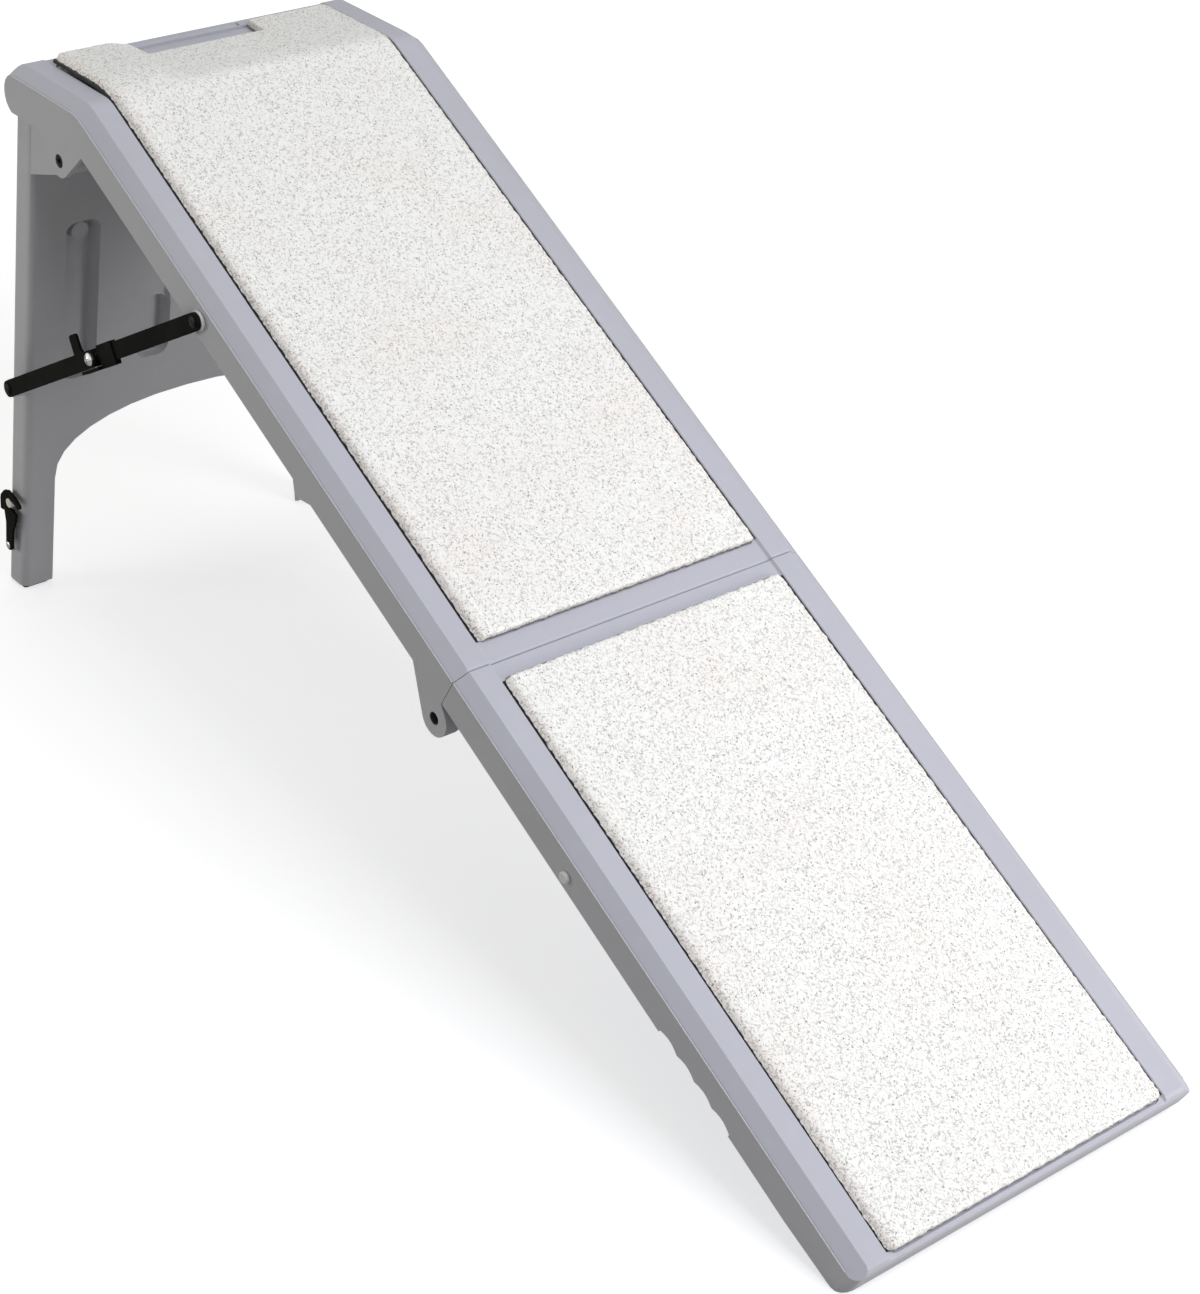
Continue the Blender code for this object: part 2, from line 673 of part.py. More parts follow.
def make_upper_panel(material):
    """Platform and upper deck."""
    panel = add_object("upper_panel", prism(upper_outline(), -HALF, HALF), material)

    def line(height):
        return upper_line(height, -OVERRUN, SEAM - OVERRUN, CUTTER_BEND_STEPS)

    cut_top_form(panel, line)
    cut(panel, "mat_pocket",
        upper_mat_pocket(MAT_MARGIN, MAT_FLOOR, MAT_FLOOR + MAT_THICKNESS, POCKET_BEND_STEPS))
    pockets = pocket_field(
        deck, SEAM + POCKET_END_UPPER_LOW, BEND - POCKET_END_UPPER_HIGH, POCKET_ROWS_UPPER, WALL_DEPTH,
    )
    pockets += pocket_field(
        level, PLATFORM_POCKET_REAR, PLATFORM_POCKET_FRONT, 1, PLATFORM_DEPTH,
    )
    cut(panel, "pockets", merged(pockets))
    groove_centre = level(GROOVE_INSET, CHANNEL_FLOOR + GROOVE_SINK)
    groove = cylinder(groove_centre, GROOVE_RADIUS, NOTCH_NEAR + GROOVE_MARGIN, NOTCH_FAR - GROOVE_MARGIN, 16)
    cut(panel, "groove", groove)
    ears = []
    bores = []
    for side in (-1, 1):
        ears.append(side_prism(leg_ear_outline(), side, HALF - LEG_EAR_THICKNESS, HALF - EAR_STEP))
        ears.append(side_prism(mid_ear_outline(), side, HALF - MID_EAR_THICKNESS, HALF - EAR_STEP))
        ears.append(side_prism(bump_outline(), side, HALF - BUMP_WIDTH, HALF - EAR_STEP))
        bores.append(side_bore(MID_PIVOT, MID_PIN_RADIUS, side, HALF - MID_EAR_THICKNESS, HALF))
        bores.append(side_bore(LEG_PIVOT, LEG_BOLT_RADIUS, side, HALF - LEG_EAR_THICKNESS, HALF))
        ramp_pin = deck(BEND - BRACE_RAMP_FROM_BEND, -BRACE_RAMP_DROP)
        bores.append(side_bore(ramp_pin, RIVET_RADIUS, side, HALF - RIVET_GRIP, HALF))
    for index, ear in enumerate(ears):
        join(panel, "ear_%d" % index, ear)
    for index, bore in enumerate(bores):
        cut(panel, "bore_%d" % index, bore)
    for side in (-1, 1):
        socket = side_prism(
            arc(LEG_PIVOT, SOCKET_RADIUS, 0.0, 2 * math.pi, ROUND_STEPS)[:-1], side,
            HALF - SOCKET_DEPTH, HALF + OVERRUN,
        )
        cut(panel, "socket_%d" % (side + 1), socket)
    return panel


def side_bore(centre, radius, side, inner, outer):
    """Bore cutter with running clearance that overruns both faces."""
    half_step = math.pi / ROUND_STEPS
    outline = arc(centre, radius + PIN_CLEARANCE, half_step, half_step + 2 * math.pi, ROUND_STEPS)[:-1]
    return side_prism(outline, side, inner - CUT_SPARE, outer + CUT_SPARE)


def lower_outline():
    """Side view of the lower panel: toe, finger scallops and seam end."""
    toe_centre = (TOE_RADIUS, -TOE_DEPTH + TOE_RADIUS)
    top_centre = (TOE_TOP_RADIUS, RAIL_HEIGHT - TOE_TOP_RADIUS)
    points = [(SEAM - SEAM_GAP / 2, RAIL_HEIGHT)]
    points += arc(top_centre, TOE_TOP_RADIUS, math.pi / 2, math.pi, 3)
    points += arc(toe_centre, TOE_RADIUS, math.pi, 1.5 * math.pi, 6)
    points.append((TOE_RADIUS + TOE_BLEND, -WALL_DEPTH))
    points.append((SEAM - SEAM_GAP / 2, -WALL_DEPTH))
    return [deck(along, height) for along, height in points]


def grip_outline():
    """Waves that cut the finger scallops into the lower edge of a side wall."""
    points = [(GRIP_START, -WALL_DEPTH - GRIP_RIDGE)]
    for step in range(GRIP_COUNT * GRIP_STEPS + 1):
        share = step / GRIP_STEPS
        rise = (GRIP_RIDGE - GRIP_VALLEY) * abs(math.sin(math.pi * share))
        points.append((GRIP_START + share * GRIP_PITCH, -GRIP_RIDGE + rise))
    points.append((GRIP_START + GRIP_COUNT * GRIP_PITCH, -WALL_DEPTH - GRIP_RIDGE))
    return [deck(along, height) for along, height in points]


def toe_band(inner, outer, half_width, spare_steps):
    """Band round the toe's lower corner; its middle facet lies flat on the floor."""
    down = 1.5 * math.pi - SLOPE
    centre = (TOE_RADIUS, -TOE_DEPTH + TOE_RADIUS)
    start = down - TOE_STEP * (0.5 + STRIP_FRONT_STEPS) + TOE_STEP - spare_steps
    end = down + TOE_STEP * (0.5 + STRIP_BACK_STEPS) - TOE_STEP + spare_steps
    steps = STRIP_FRONT_STEPS + STRIP_BACK_STEPS - 1
    outline = arc(centre, outer, start, end, steps)
    outline += reversed(arc(centre, inner, start, end, steps))
    return prism([deck(along, height) for along, height in outline], -half_width, half_width)


def toe_corner(side):
    """What the rounding of the toe's corner takes away."""
    centre = (TOE_CORNER - SEAT_GAP, HALF - TOE_CORNER + SEAT_GAP)
    outline = arc(centre, TOE_CORNER, math.pi / 2, math.pi, TOE_CORNER_STEPS)
    outline += [(-OVERRUN, centre[1]), (-OVERRUN, HALF + OVERRUN), (centre[0], HALF + OVERRUN)]
    outline = [(along, side * y) for along, y in outline]
    return plan_prism(outline, deck, -WALL_DEPTH - OVERRUN, RAIL_HEIGHT + OVERRUN)


def make_lower_panel(material):
    """Lower deck."""
    panel = add_object("lower_panel", prism(lower_outline(), -HALF, HALF), material,
                       origin=(MID_PIVOT[0], 0.0, MID_PIVOT[1]))

    def line(height):
        return lower_line(height, SEAM + OVERRUN, -OVERRUN)

    cut_top_form(panel, line)
    cut(panel, "mat_pocket", lower_mat_shape(MAT_MARGIN, MAT_FLOOR, MAT_FLOOR + MAT_THICKNESS))
    pockets = pocket_field(
        deck, POCKET_END_LOWER_LOW, SEAM - POCKET_END_LOWER_HIGH, POCKET_ROWS_LOWER, WALL_DEPTH,
    )
    cut(panel, "pockets", merged(pockets))
    groove = toe_band(TOE_RADIUS + STRIP_PROUD - STRIP_THICKNESS - SEAT_GAP, TOE_RADIUS + 0.01,
                      STRIP_HALF_WIDTH + SEAT_GAP, math.radians(2))
    cut(panel, "toe_groove", groove)
    for side in (-1, 1):
        cut(panel, "toe_corner_%d" % (side + 1), toe_corner(side))
    lug_outer = HALF - MID_EAR_THICKNESS - MID_SIDE_GAP
    for side in (-1, 1):
        grips = side_prism(grip_outline(), side, HALF - GRIP_DEPTH_INTO_PANEL, HALF + OVERRUN)
        cut(panel, "grips_%d" % (side + 1), grips)
        lug = side_prism(mid_lug_outline(), side, lug_outer - MID_LUG_THICKNESS, lug_outer)
        join(panel, "lug_%d" % (side + 1), lug)
        bore = side_bore(MID_PIVOT, MID_PIN_RADIUS, side, lug_outer - MID_LUG_THICKNESS, lug_outer)
        cut(panel, "bore_%d" % (side + 1), bore)
    return panel


def make_mats(material):
    """Fibre mats in their pockets."""
    floor = MAT_FLOOR + SEAT_GAP
    shape = slab(mat_line, MAT_HALF_WIDTH, floor, floor + MAT_THICKNESS, MAT_CORNER)
    upper = add_object("upper_mat", shape, material)
    cut(upper, "notch", notch_shape())
    add_object("lower_mat", lower_mat_shape(0.0, floor, floor + MAT_THICKNESS), material,
               origin=(MID_PIVOT[0], 0.0, MID_PIVOT[1]))


def make_toe_strip(material):
    """Rubber strip in its groove under the toe."""
    outer = TOE_RADIUS + STRIP_PROUD
    add_object("toe_strip", toe_band(outer - STRIP_THICKNESS, outer, STRIP_HALF_WIDTH, 0.0), material,
               origin=(MID_PIVOT[0], 0.0, MID_PIVOT[1]))


def make_mid_pins(material):
    """Recessed pins of the middle hinge."""
    inner = HALF - MID_EAR_THICKNESS - MID_SIDE_GAP - MID_LUG_THICKNESS - MID_PIN_OVERHANG
    outer = HALF - MID_PIN_RECESS
    for side, word in ((-1, "near"), (1, "far")):
        profile = [
            (0.0, inner), (MID_PIN_RADIUS - MID_PIN_CHAMFER, inner), (MID_PIN_RADIUS, inner + MID_PIN_CHAMFER),
            (MID_PIN_RADIUS, outer - MID_PIN_CHAMFER), (MID_PIN_RADIUS - MID_PIN_CHAMFER, outer), (0.0, outer),
        ]
        add_object("mid_pin_" + word, turned(MID_PIVOT, profile, side), material,
                   origin=(MID_PIVOT[0], 0.0, MID_PIVOT[1]), smooth=True)


def make_leg_bolts(bolt_material, nut_material):
    """Bolts and nuts of the leg hinge."""
    seat = HALF - SOCKET_DEPTH + SEAT_GAP
    nut_outer = ARM_INNER - SEAT_GAP
    tail = nut_outer - LEG_NUT_THICKNESS - LEG_BOLT_TAIL
    for side, word in ((-1, "near"), (1, "far")):
        head_top = seat + LEG_BOLT_HEAD
        profile = [
            (0.0, tail), (LEG_BOLT_RADIUS, tail), (LEG_BOLT_RADIUS, seat), (LEG_BOLT_HEAD_RADIUS, seat),
            (LEG_BOLT_HEAD_RADIUS, head_top - LEG_BOLT_CHAMFER),
            (LEG_BOLT_HEAD_RADIUS - LEG_BOLT_CHAMFER, head_top),
            (0.0, head_top),
        ]
        bolt = add_object("leg_bolt_" + word, turned(LEG_PIVOT, profile, side), bolt_material,
                          origin=(LEG_PIVOT[0], 0.0, LEG_PIVOT[1]), smooth=True)
        hexagon = arc(LEG_PIVOT, LEG_BOLT_SOCKET, 0.0, 2 * math.pi, 6)[:-1]
        cut(bolt, "socket", side_prism(hexagon, side, head_top - LEG_SOCKET_DEPTH, head_top + LEG_SOCKET_DEPTH))
        outline = arc(LEG_PIVOT, LEG_NUT_RADIUS, 0.0, 2 * math.pi, 6)[:-1]
        nut = add_object("leg_nut_" + word,
                         side_prism(outline, side, nut_outer - LEG_NUT_THICKNESS, nut_outer), nut_material,
                         origin=(LEG_PIVOT[0], 0.0, LEG_PIVOT[1]))
        cut(nut, "bore", side_bore(LEG_PIVOT, LEG_BOLT_RADIUS, side, nut_outer - LEG_NUT_THICKNESS, nut_outer))


def leg_face(forward, foot_height, top_height):
    """Front view of the leg frame at one depth, as (down, y) points; the arch widens to the rear."""
    outer = HALF - LEG_INSET
    depth_share = (LEG_FRONT - forward) / LEG_THICKNESS
    inner = outer - LEG_POST_WIDTH + ARCH_DRAFT * depth_share
    crown = ARCH_CROWN - ARCH_CROWN_DRAFT * depth_share
    foot = leg_down_at(foot_height, forward)
    top = leg_down_at(top_height, forward)
    points = [(top, -outer), (foot, -outer), (foot, -inner)]
    for step in range(ARCH_STEPS + 1):
        angle = math.pi * step / ARCH_STEPS
        across = math.copysign(abs(math.cos(angle)) ** (2 / ARCH_EXPONENT), math.cos(angle))
        rise = abs(math.sin(angle)) ** (2 / ARCH_EXPONENT)
        points.append((ARCH_SPRING - (ARCH_SPRING - crown) * rise, -inner * across))
    points += [(foot, inner), (foot, outer), (top, outer)]
    return points


def leg_frame_shape():
    """Arched frame with rounded corners; its top and feet are level."""
    foot_height = PAD_THICKNESS + SEAT_GAP
    top_height = PLATFORM_LEVEL - PLATFORM_DEPTH - SEAT_GAP
    rings = []
    for forward in (LEG_FRONT - LEG_THICKNESS, LEG_FRONT):
        ring = []
        for down, y in leg_face(forward, foot_height, top_height):
            x, z = leg(down, forward)
            ring.append((x, y, z))
        rings.append(ring)
    bm = lofted(rings)[0]
    outer = HALF - LEG_INSET

    def is_post_corner(edge):
        at_side = all(abs(abs(vert.co.y) - outer) < 0.0001 for vert in edge.verts)
        return at_side and edge.calc_length() > 0.3

    bevel_edges(bm, LEG_CORNER, LEG_CORNER_STEPS, is_post_corner)

    def is_top_rear(edge):
        rear_top = leg(leg_down_at(top_height, LEG_FRONT - LEG_THICKNESS), LEG_FRONT - LEG_THICKNESS)
        return all(abs(vert.co.z - rear_top[1]) < 0.0001 and vert.co.x < rear_top[0] + 0.0001
                   for vert in edge.verts) and edge.calc_length() > 0.1

    bevel_edges(bm, LEG_TOP_CORNER, 4, is_top_rear)
    return bm


def arm_outline():
    """Hinge arm that reaches forward from the leg frame to its bolt."""
    centre = (0.0, 0.0)
    top = (-ARM_ROOT_TOP, LEG_FRONT - ARM_ROOT)
    gusset = (ARM_GUSSET, LEG_FRONT - ARM_ROOT)
    start = tangent_angle(centre, ARM_RADIUS, top, -1) + 2 * math.pi
    end = tangent_angle(centre, ARM_RADIUS, gusset, 1)
    points = [top] + arc(centre, ARM_RADIUS, start, end, 10) + [gusset]
    return [leg(down, forward) for down, forward in points]


def recess(top, bottom, middle, depth):
    """Recess in the front of the leg frame."""
    rings = []
    for back, taper in ((-RECESS_MOUTH, -RECESS_TAPER / 3), (depth, RECESS_TAPER)):
        ring = []
        half = RECESS_WIDTH / 2 - taper
        for down, y in ((top + taper, middle - half), (bottom - taper, middle - half),
                        (bottom - taper, middle + half), (top + taper, middle + half)):
            x, z = leg(down, LEG_FRONT - back)
            ring.append((x, y, z))
        rings.append(ring)
    bm, loops = lofted(rings)
    mouth = set(loops[0])
    bevel_edges(bm, RECESS_CORNER, 3,
                lambda edge: (edge.verts[0] in mouth) != (edge.verts[1] in mouth))
    return bm


def recess_boss(middle):
    """Round boss near the top of an outer recess."""
    centre_down = RECESS_TOP + RECESS_BOSS_DROP
    floor = leg(centre_down, LEG_FRONT - RECESS_DEPTH - RECESS_BOSS_ROOT)
    top = leg(centre_down, LEG_FRONT - RECESS_DEPTH + RECESS_BOSS_HEIGHT)
    axis = Vector((top[0] - floor[0], 0.0, top[1] - floor[1]))
    bm = bmesh.new()
    bmesh.ops.create_cone(bm, cap_ends=True, segments=16, radius1=RECESS_BOSS_RADIUS,
                          radius2=RECESS_BOSS_RADIUS - RECESS_BOSS_TAPER, depth=axis.length)
    turn = axis.to_track_quat("Z", "Y").to_matrix().to_4x4()
    middle_point = Vector((floor[0], middle, floor[1])) + axis / 2
    bm.transform(Matrix.Translation(middle_point) @ turn)
    return bm


def make_leg_panel(material):
    """Leg frame with arms, bosses and recesses."""
    panel = add_object("leg_panel", leg_frame_shape(), material, origin=(LEG_PIVOT[0], 0.0, LEG_PIVOT[1]))
    arm_outer = HALF - LEG_EAR_THICKNESS - ARM_SIDE_GAP
    pin = leg(BRACE_LEG_DOWN, BRACE_LEG_FORWARD)
    for side in (-1, 1):
        join(panel, "arm_%d" % (side + 1), side_prism(arm_outline(), side, ARM_INNER, arm_outer))
        boss = side_prism(round_outline(pin, SPACER_RADIUS), side, HALF - LEG_INSET - LEG_CORNER, leg_boss_face())
        join(panel, "boss_%d" % (side + 1), boss)
        cut(panel, "bore_%d" % (side + 1), side_bore(LEG_PIVOT, LEG_BOLT_RADIUS, side, ARM_INNER, arm_outer))
        outer_recess = recess(RECESS_TOP, RECESS_BOTTOM, side * RECESS_OUTER, RECESS_DEPTH)
        cut(panel, "recess_%d" % (side + 1), outer_recess)
        shallow = recess(RECESS_INNER_TOP, RECESS_BOTTOM, side * RECESS_INNER, RECESS_INNER_SHALLOW)
        cut(panel, "shallow_%d" % (side + 1), shallow)
        deep = recess(RECESS_INNER_STEP, RECESS_BOTTOM - RECESS_TAPER, side * RECESS_INNER, RECESS_DEPTH)
        cut(panel, "deep_%d" % (side + 1), deep)
        join(panel, "stub_%d" % (side + 1), recess_boss(side * RECESS_OUTER))
    latch = leg(HOOK_PIVOT_DOWN, HOOK_PIVOT_FORWARD)
    hook_inner = hook_planes()[0]
    latch_boss = side_prism(round_outline(latch, HOOK_PIVOT_BOSS_RADIUS), -1,
                            HALF - LEG_INSET - LATCH_BOSS_ROOT, hook_inner - SEAT_GAP)
    join(panel, "latch_boss", latch_boss)
    bore_end = hook_inner - LATCH_SCREW_GRIP - LATCH_SCREW_SPARE
    cut(panel, "latch_bore", side_bore(latch, LATCH_SCREW_RADIUS, -1, bore_end, hook_inner))
    return panel


def round_outline(centre, radius, steps=ROUND_STEPS):
    """Closed round outline."""
    half_step = math.pi / steps
    return arc(centre, radius, half_step, half_step + 2 * math.pi, steps)[:-1]


def leg_boss_face():
    """Distance of the leg boss's face from the middle plane."""
    return leg_link_planes()[0] - SEAT_GAP - SPACER_THICKNESS - SEAT_GAP


def ramp_link_planes():
    """Inner and outer face of the bar that is pinned to the ramp."""
    inner = HALF + SEAT_GAP + SPACER_THICKNESS + SEAT_GAP
    return (inner, inner + BAR_THICKNESS)


def leg_link_planes():
    """Inner and outer face of the bar that is pinned to the leg."""
    inner = ramp_link_planes()[1] + SEAT_GAP + WASHER_THICKNESS + SEAT_GAP
    return (inner, inner + BAR_THICKNESS)


def hook_planes():
    """Inner and outer face of the latch hook."""
    inner = HALF + HOOK_WALL_GAP
    return (inner, inner + HOOK_THICKNESS)


def brace_places():
    """Leg pin, middle pin and ramp pin of the straight brace, and its direction."""
    leg_pin = Vector(leg(BRACE_LEG_DOWN, BRACE_LEG_FORWARD))
    ramp_pin = Vector(deck(BEND - BRACE_RAMP_FROM_BEND, -BRACE_RAMP_DROP))
    direction = (ramp_pin - leg_pin).normalized()
    return leg_pin, leg_pin + direction * LEG_LINK_LENGTH, ramp_pin, direction


def brace_point(along, above):
    """Point (x, z) beside the brace, from its middle pin: along it towards the ramp, and above it."""
    _, middle, _, direction = brace_places()
    return (middle.x + along * direction.x - above * direction.y,
            middle.y + along * direction.y + above * direction.x)


def leg_link_outline():
    """Bar with round ends and a thumb tab on its upper edge."""
    half = BAR_WIDTH / 2
    near_root = -TAB_CENTRE + TAB_WIDTH / 2
    far_root = -TAB_CENTRE - TAB_WIDTH / 2
    tip = half + TAB_HEIGHT
    points = arc((0.0, 0.0), half, -math.pi / 2, math.pi / 2, BAR_END_STEPS)
    points += [(near_root + 0.003, half), (near_root, half + 0.004)]
    points += arc((near_root - TAB_CORNER, tip - TAB_CORNER), TAB_CORNER, 0.0, math.pi / 2, 3)
    points += arc((far_root + TAB_CORNER, tip - TAB_CORNER), TAB_CORNER, math.pi / 2, math.pi, 3)
    points.append((far_root, half))
    points += arc((-LEG_LINK_LENGTH, 0.0), half, math.pi / 2, 1.5 * math.pi, BAR_END_STEPS)
    return [brace_point(along, above) for along, above in points]


def ramp_link_outline():
    """Plain bar with round ends."""
    half = BAR_WIDTH / 2
    _, middle, ramp_pin, _ = brace_places()
    length = (ramp_pin - middle).length
    points = arc((0.0, 0.0), half, math.pi / 2, 1.5 * math.pi, BAR_END_STEPS)
    points += arc((length, 0.0), half, -math.pi / 2, math.pi / 2, BAR_END_STEPS)
    return [brace_point(along, above) for along, above in points]


def brace_box(along_low, along_high, above_low, above_high):
    """Rectangle beside the brace."""
    corners = [(along_low, above_low), (along_high, above_low), (along_high, above_high),
               (along_low, above_high)]
    return [brace_point(along, above) for along, above in corners]


def make_sleeve(word, side, material, origin):
    """Sleeve round the ramp bar, with the lip that both bars rest on when the brace is straight."""
    inner, outer = ramp_link_planes()
    leg_outer = leg_link_planes()[1]
    half = BAR_WIDTH / 2 + SEAT_GAP
    top = half + SLEEVE_WALL
    low = -half - LIP_THICKNESS
    body = side_prism(brace_box(SLEEVE_START, SLEEVE_END, low, top), side,
                      inner - SEAT_GAP - SLEEVE_WALL, outer + SEAT_GAP + SLEEVE_WALL)
    sleeve = add_object("lock_sleeve_" + word, body, material, origin=origin)
    lip_low = low + LIP_STEP
    lip_high = -half - LIP_STEP
    lip = side_prism(brace_box(LIP_START, SLEEVE_END - SLEEVE_WALL, lip_low, lip_high), side,
                     inner, outer + SEAT_GAP)
    join(sleeve, "lip", lip)
    outer_lip = side_prism(brace_box(LIP_START + LIP_STEP, LIP_OUTER_END, lip_low + LIP_STEP, lip_high - LIP_STEP),
                           side, inner + SLEEVE_WALL, leg_outer)
    join(sleeve, "outer_lip", outer_lip)
    slot = side_prism(brace_box(SLEEVE_START - SLEEVE_SLOT_SPARE, SLEEVE_END + SLEEVE_SLOT_SPARE, -half, half),
                      side, inner - SEAT_GAP, outer + SEAT_GAP)
    cut(sleeve, "slot", slot)


def dome(shares, radius, seat, height):
    """Profile of a head above its seat; each share pair is of the radius and of the height."""
    return [(across * radius, seat + up * height) for across, up in shares]


def headed_pin(centre, side, tail, seat, shank, head_radius, head):
    """Pin with a slightly domed head outside its seat."""
    profile = [(0.0, tail), (shank, tail), (shank, seat), (head_radius, seat)]
    profile += dome(RIVET_DOME, head_radius, seat, head)
    return turned(centre, profile, side)


def make_brace(side, word, materials):
    """Folding brace on one side: two bars, lock sleeve, screw, rivets and spacers."""
    leg_pin, middle, ramp_pin, _ = brace_places()
    ramp_inner, ramp_outer = ramp_link_planes()
    leg_inner, leg_outer = leg_link_planes()
    ramp_origin = (ramp_pin.x, 0.0, ramp_pin.y)
    middle_origin = (middle.x, 0.0, middle.y)
    leg_origin = (LEG_PIVOT[0], 0.0, LEG_PIVOT[1])
    ramp_link = add_object("ramp_link_" + word, side_prism(ramp_link_outline(), side, ramp_inner, ramp_outer),
                           materials["black"], origin=ramp_origin)
    cut(ramp_link, "middle_bore", side_bore(middle, RIVET_RADIUS, side, ramp_inner, ramp_outer))
    cut(ramp_link, "ramp_bore", side_bore(ramp_pin, RIVET_RADIUS, side, ramp_inner, ramp_outer))
    leg_link = add_object("leg_link_" + word, side_prism(leg_link_outline(), side, leg_inner, leg_outer),
                          materials["black"], origin=middle_origin)
    cut(leg_link, "middle_bore", side_bore(middle, RIVET_RADIUS, side, leg_inner, leg_outer))
    cut(leg_link, "leg_bore", side_bore(leg_pin, RIVET_RADIUS, side, leg_inner, leg_outer))
    make_sleeve(word, side, materials["sleeve"], ramp_origin)
    washer = add_object("middle_washer_" + word,
                        side_prism(round_outline(middle, WASHER_RADIUS), side, ramp_outer + SEAT_GAP,
                                   leg_inner - SEAT_GAP), materials["steel"], origin=middle_origin)
    cut(washer, "bore", side_bore(middle, RIVET_RADIUS, side, ramp_outer, leg_inner))
    tail = ramp_inner - SEAT_GAP - SCREW_TAIL
    seat = leg_outer + SEAT_GAP
    profile = [
        (0.0, tail), (SCREW_TAIL_RADIUS - SCREW_TAIL_CHAMFER, tail),
        (SCREW_TAIL_RADIUS, tail + SCREW_TAIL_CHAMFER), (SCREW_TAIL_RADIUS, ramp_inner - SEAT_GAP),
        (RIVET_RADIUS, ramp_inner - SEAT_GAP), (RIVET_RADIUS, seat), (SCREW_HEAD_RADIUS, seat),
    ]
    profile += dome(SCREW_DOME, SCREW_HEAD_RADIUS, seat, SCREW_HEAD)
    screw = add_object("middle_screw_" + word, turned(middle, profile, side), materials["steel"],
                       origin=middle_origin, smooth=True)
    slots = []
    long_half = CROSS_LENGTH_SHARE * SCREW_HEAD_RADIUS
    short_half = CROSS_WIDTH_SHARE * SCREW_HEAD_RADIUS
    for reach, rise in ((long_half, short_half), (short_half, long_half)):
        slots.append(side_prism(brace_box(-reach, reach, -rise, rise), side,
                                seat + CROSS_BOTTOM_SHARE * SCREW_HEAD, seat + SCREW_HEAD + CUT_SPARE))
    for index, slot in enumerate(slots):
        cut(screw, "cross_%d" % index, slot)
    for name, centre, origin, base in (
        ("ramp_spacer_", ramp_pin, ramp_origin, HALF + SEAT_GAP),
        ("leg_spacer_", leg_pin, leg_origin, leg_boss_face() + SEAT_GAP),
    ):
        spacer = add_object(name + word, side_prism(round_outline(centre, SPACER_RADIUS), side, base,
                                                    base + SPACER_THICKNESS), materials["nylon"], origin=origin)
        cut(spacer, "bore", side_bore(centre, RIVET_RADIUS, side, base, base + SPACER_THICKNESS))
    ramp_rivet = headed_pin(ramp_pin, side, HALF - RIVET_GRIP + SEAT_GAP, ramp_outer + SEAT_GAP, RIVET_RADIUS,
                            RIVET_HEAD_RADIUS, RIVET_HEAD)
    add_object("ramp_rivet_" + word, ramp_rivet, materials["dark"], origin=ramp_origin, smooth=True)
    leg_rivet = headed_pin(leg_pin, side, leg_inner + 0.0001, leg_outer + SEAT_GAP, RIVET_RADIUS,
                           RIVET_HEAD_RADIUS, RIVET_HEAD)
    add_object("leg_rivet_" + word, leg_rivet, materials["dark"], origin=middle_origin, smooth=True)


def hook_place(forward, up):
    """Point (x, z) on the latch hook, from its pivot."""
    return leg(HOOK_PIVOT_DOWN - up, HOOK_PIVOT_FORWARD + forward)


def hook_outline():
    """Hook with a slot that is concentric with its pivot, so that it swings clear of its stud."""
    crook_angle = math.atan2(HOOK_REACH, -HOOK_LEAN_BACK)
    slot_half = STUD_RADIUS + STUD_CLEARANCE
    slot_low = HOOK_REACH - slot_half
    slot_high = HOOK_REACH + slot_half
    crook = (HOOK_REACH * math.cos(crook_angle), HOOK_REACH * math.sin(crook_angle))
    points = arc((0.0, 0.0), HOOK_END_RADIUS, math.pi, 2 * math.pi, 8)
    points += [(0.0072, 0.0228), (0.0120, 0.0380)]
    points += arc((0.0, 0.0), slot_low, math.radians(74), crook_angle, 4)
    points += arc(crook, slot_half, crook_angle + math.pi, crook_angle, 8)[1:-1]
    points += arc((0.0, 0.0), slot_high, crook_angle, math.radians(73.5), 4)
    points += [(0.0215, 0.0608), (0.0200, 0.0646), (0.0092, 0.0686), (-0.0045, 0.0698), (-0.0130, 0.0655),
               (-0.0195, 0.0560), (-0.0202, 0.0518), (-0.0190, 0.0384), (-0.0140, 0.0390), (-0.0110, 0.0405),
               (-0.0068, 0.0266)]
    return [hook_place(forward, up) for forward, up in points]


def make_latch(materials):
    """Hook, its screw and the two studs."""
    inner, outer = hook_planes()
    pivot = hook_place(0.0, 0.0)
    origin = (pivot[0], 0.0, pivot[1])
    hook = add_object("latch_hook", side_prism(hook_outline(), -1, inner, outer), materials["black"],
                      origin=origin)
    cut(hook, "bore", side_bore(pivot, LATCH_SCREW_RADIUS, -1, inner, outer))
    screw = headed_pin(pivot, -1, inner - LATCH_SCREW_GRIP, outer + SEAT_GAP, LATCH_SCREW_RADIUS,
                       LATCH_SCREW_HEAD_RADIUS, LATCH_SCREW_HEAD)
    add_object("latch_screw", screw, materials["steel"], origin=origin, smooth=True)
    end = outer + STUD_PROUD
    leg_face_y = HALF - LEG_INSET
    angle = math.atan2(HOOK_REACH, -HOOK_LEAN_BACK)
    stud_place = hook_place(HOOK_REACH * math.cos(angle), HOOK_REACH * math.sin(angle))
    add_object("leg_stud", stud_shape(stud_place, leg_face_y + SEAT_GAP, end), materials["nylon"],
               origin=(stud_place[0], 0.0, stud_place[1]), smooth=True)
    panel_place = panel_stud_place()
    add_object("panel_stud", stud_shape(panel_place, HALF + SEAT_GAP, end), materials["nylon"],
               origin=(panel_place[0], 0.0, panel_place[1]), smooth=True)


